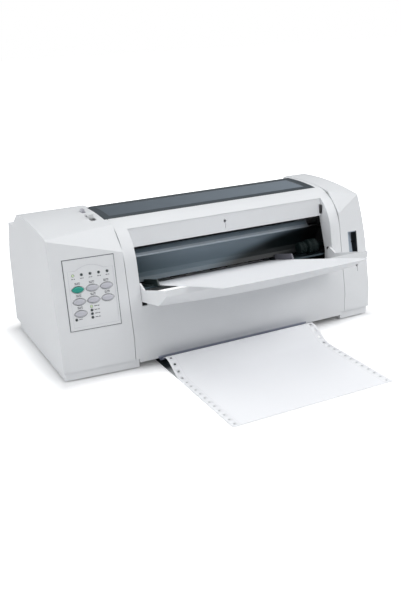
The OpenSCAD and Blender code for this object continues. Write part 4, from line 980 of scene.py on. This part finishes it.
# %% Dark strip round the plate
SHADE_STRIP_GAP, SHADE_STRIP_WIDE, SHADE_STRIP_FOOT, SHADE_STRIP_TOP = 0.1 * MM, 1.0 * MM, 1.55 * MM, 0.15 * MM
half = (plate_high - plate_low)[:2] / 2 + SHADE_STRIP_GAP
corner = np.array([(-1, -1), (1, -1), (1, 1), (-1, 1)])
inner = corner * half
outer = corner * (half + SHADE_STRIP_WIDE)
low, high = face - SHADE_STRIP_FOOT, face - SHADE_STRIP_TOP
section = [(inner, low), (outer, low), (outer, high), (inner, high), (inner, low)]
loops = np.stack([np.concatenate([xy + plate_middle[:2], np.full((4, 1), z)], axis=1)
                  for xy, z in section])
piece("panel_gap_shade", loops @ PANEL, quads(*loops.shape[:2], True), gap_shade, "case", closed=True)

# %% [markdown]
# ## Rollers at the end of the opening
# Two ribbed rollers on one shaft show in the dark right corner. A profile of distance along the
# shaft against radius is carried round, and the treads are dented by one less the size of a
# sine. The sine is 0 twice in each of its turns, so 26 turns leave 52 rounded ribs. An Array of
# ribs would do it too, but this is one closed shell.

# %% Ribbed rollers
GRIP_Y, GRIP_Z = -77 * MM, 114 * MM
SHAFT, HUB, BETWEEN = 4, 6, 3
NEAR_R, NEAR_WIDE, FAR_R, FAR_WIDE = 9, 12.2, 11, 15.9
CHAMFER, CHAMFER_DEEP, GROOVE_DEEP = 0.8, 1, 0.9
HALF_RIBS, RIB_DEEP = 26, 0.35
left_end, right_end = (p[0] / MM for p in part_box("grip_rollers"))


def tread(start, radius, wide):
    """Chamfered end, two bands with a groove between them, chamfered end. Each point is a
    distance along, a radius, and 1 where the surface is ribbed."""
    steps = [(0, -CHAMFER_DEEP), (CHAMFER, 0), (wide * 0.44, 0), (wide * 0.46, -GROOVE_DEEP),
             (wide * 0.54, -GROOVE_DEEP), (wide * 0.56, 0), (wide - CHAMFER, 0), (wide, -CHAMFER_DEEP)]
    return [(start + a, radius + b, 1.0 if b == 0 else 0.0) for a, b in steps]


near_end = left_end + NEAR_WIDE
far_end = near_end + BETWEEN + FAR_WIDE
profile = np.array([(left_end, 0, 0), (left_end, HUB, 0)] + tread(left_end, NEAR_R, NEAR_WIDE)
                   + [(near_end, SHAFT, 0), (near_end + BETWEEN, SHAFT, 0)]
                   + tread(near_end + BETWEEN, FAR_R, FAR_WIDE)
                   + [(far_end, SHAFT, 0), (right_end, SHAFT, 0), (right_end, 0, 0)])
turn = np.arange(192) * math.tau / 192
dent = RIB_DEEP * (1 - np.abs(np.sin(turn * HALF_RIBS)))
radius = (profile[:, 1, None] - profile[:, 2, None] * dent) * MM
along = np.broadcast_to(profile[:, 0, None], radius.shape) * MM
shape = np.stack([along, GRIP_Y + radius * np.cos(turn), GRIP_Z + radius * np.sin(turn)], axis=-1)
rollers = piece("ribbed_rollers", shape, quads(*shape.shape[:2], True), roller_plastic, "grip",
                closed=True)
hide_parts("grip_rollers")

# %% [markdown]
# ## The stop button
# A small black button on the right wall of the opening stops the flap. It is the dome once more,
# turned to point left: its height is taken off x, and its outline goes to y and z.

# %% Stop button
STOP_AT = np.array((188, -97, 113))
STOP_R, STOP_FOOT, STOP_SHOULDER, STOP_TOP = 2.3, -0.4, 1.4, 2.4
stop = dome(circle * STOP_R, STOP_FOOT, STOP_SHOULDER, STOP_TOP, steps=6, fullness=2.0)
stop = STOP_AT + np.stack([-stop[..., 2], stop[..., 0], stop[..., 1]], axis=-1)
piece("flap_stop", stop * MM, quads(*stop.shape[:2], True), black_plastic, "case", closed=True)

# %% [markdown]
# ## A pale floor
# The machine stands on white that has no edge. Seen by the camera the floor glows white a hand's
# width away from the machine, and the glow dies towards its foot, where the soft shadow shows.
# The distance to the foot is that to a rectangle: how far a point lies beyond it on each axis.
# Under the form there is no glow and the floor is painted grey, a painted shade; where its wave
# lifts it the floor is painted dark, a painted shade; and a band along its front edge glows less,
# a painted shadow, so that the edge can be seen. More lamps would whiten a plain floor
# too, but they would bleach the machine.

# %% Floor
FOOT_X, FOOT_Y = (-245 * MM, 251 * MM), (-120 * MM, 107 * MM)
GLOW_START, GLOW_REACH = -4 * MM, 60 * MM
FORM_HIDDEN, FORM_INSET = -100 * MM, 0.5 * MM
SHADE_START, SHADE_END = (WAVE_CREST - 13) * MM, (WAVE_CREST + 7) * MM
# A band before the form's front edge glows less: a painted shadow.
EDGE_START, EDGE_END, EDGE_SHADE = (FORM_FRONT - 3.6) * MM, (FORM_FRONT + 1) * MM, 0.6
# Floor colours: white, a painted shade under the form, and a darker painted shade under its wave.
FLOOR_WHITE, UNDER_FORM, UNDER_WAVE = (0.86, 0.86, 0.865), (0.62, 0.63, 0.64), (0.025, 0.038, 0.045)


def slab(name, corners):
    """One face between four corners."""
    mesh = bpy.data.meshes.new(name)
    mesh.from_pydata(corners, [], [(0, 1, 2, 3)])
    thing = bpy.data.objects.new(name, mesh)
    bpy.context.scene.collection.objects.link(thing)
    return thing


floor = slab("floor", [(-6, -6, 0), (6, -6, 0), (6, 6, 0), (-6, 6, 0)])
ground = Finish("floor_white", FLOOR_WHITE, 0.9, Emission_Strength=1.0)
x, y, _ = ground.axes()
beyond = [((at - (low + high) / 2).size() - (high - low) / 2).at_least(0.0)
          for at, (low, high) in ((x, FOOT_X), (y, FOOT_Y))]
foot_distance = (beyond[0] * beyond[0] + beyond[1] * beyond[1]).root()
from_middle = (x - FORM_X).size()
under_form = (from_middle < FORM_WIDE / 2 - FORM_INSET) * (y > FORM_FRONT * MM) * (y < FORM_HIDDEN)
# Painted shadow along the form's front edge.
under_edge = (from_middle < FORM_WIDE / 2) * (y > EDGE_START) * (y < EDGE_END)
glow = ground.ramp(foot_distance, GLOW_START, GLOW_REACH, False)
glow = glow * (1 - under_form) * (1 - under_edge * EDGE_SHADE)
seen_directly = ground.node("ShaderNodeLightPath")
ground.set("Emission Color", ground.blend(seen_directly * glow, (0, 0, 0), (1, 1, 1)))
# Painted shade: grey under the form, darker under its wave.
shade = ground.blend(ground.ramp(y, SHADE_START, SHADE_END), UNDER_FORM, UNDER_WAVE)
ground.set("Base Color", ground.blend(under_form, FLOOR_WHITE, shade))
dress(floor, ground.material)
print("floor glows fully from", round(GLOW_REACH / MM), "mm on")

# %% [markdown]
# ## A white backdrop
# The camera sees a white world, and everything else gets a faint bluish light from it. A Light
# Path node tells the two apart, and mixes the Background that a new world brings with a white
# one. The Standard view transform leaves that white as it is.

# %% World
bpy.context.scene.view_settings.view_transform = "Standard"
world = bpy.data.worlds.new("studio")
world.use_nodes = True
bpy.context.scene.world = world
sky = Graph(world.node_tree)
ambient = sky.tree.nodes["Background"]
sky.feed(ambient.inputs["Color"], (0.86, 0.94, 1.0, 1))
sky.feed(ambient.inputs["Strength"], 0.15)
backdrop = sky.node("ShaderNodeBackground", None, {"Color": (1, 1, 1, 1), "Strength": 1.0})
choice = sky.node("ShaderNodeMixShader", None,
                  {0: sky.node("ShaderNodeLightPath"), 1: Wire(sky, ambient.outputs[0]), 2: backdrop})
sky.feed(sky.tree.nodes["World Output"].inputs["Surface"], choice)
print("world lights with", round(ambient.inputs["Strength"].default_value, 2))

# %% [markdown]
# ## Soft light
# Six large lamps stand round the machine, all turned to its middle. A broad panel throws a soft
# shadow, and each is as strong as its side of the machine is bright, so that a colour renders
# about as it is written.

# %% Lamps
AIM = Vector((0, 0, 0.1))
LAMPS = {
    "top_light": ((-0.1, 0.2, 1.9), (1.8, 1.6), 12),
    "top_front_light": ((0.0, -1.1, 2.4), (1.8, 1.6), 12.3),
    "front_right_light": ((1.3, -2.6, 2.4), (1.8, 1.5), 29),
    "front_left_light": ((-1.7, -2.3, 1.9), (1.8, 1.5), 10.5),
    "left_light": ((-2.4, 0.2, 0.9), (1.4, 1.2), 19.5),
    "right_light": ((2.6, -0.4, 1.4), (1.4, 1.2), 32),
}
for name, (place, size, watts) in LAMPS.items():
    light = bpy.data.lights.new(name, "AREA")
    light.shape = "RECTANGLE"
    light.size, light.size_y = size
    light.energy = watts
    lamp_object = bpy.data.objects.new(name, light)
    lamp_object.location = place
    lamp_object.rotation_euler = (AIM - Vector(place)).to_track_quat("-Z", "Y").to_euler()
    bpy.context.scene.collection.objects.link(lamp_object)
print("lamps placed", len(LAMPS))
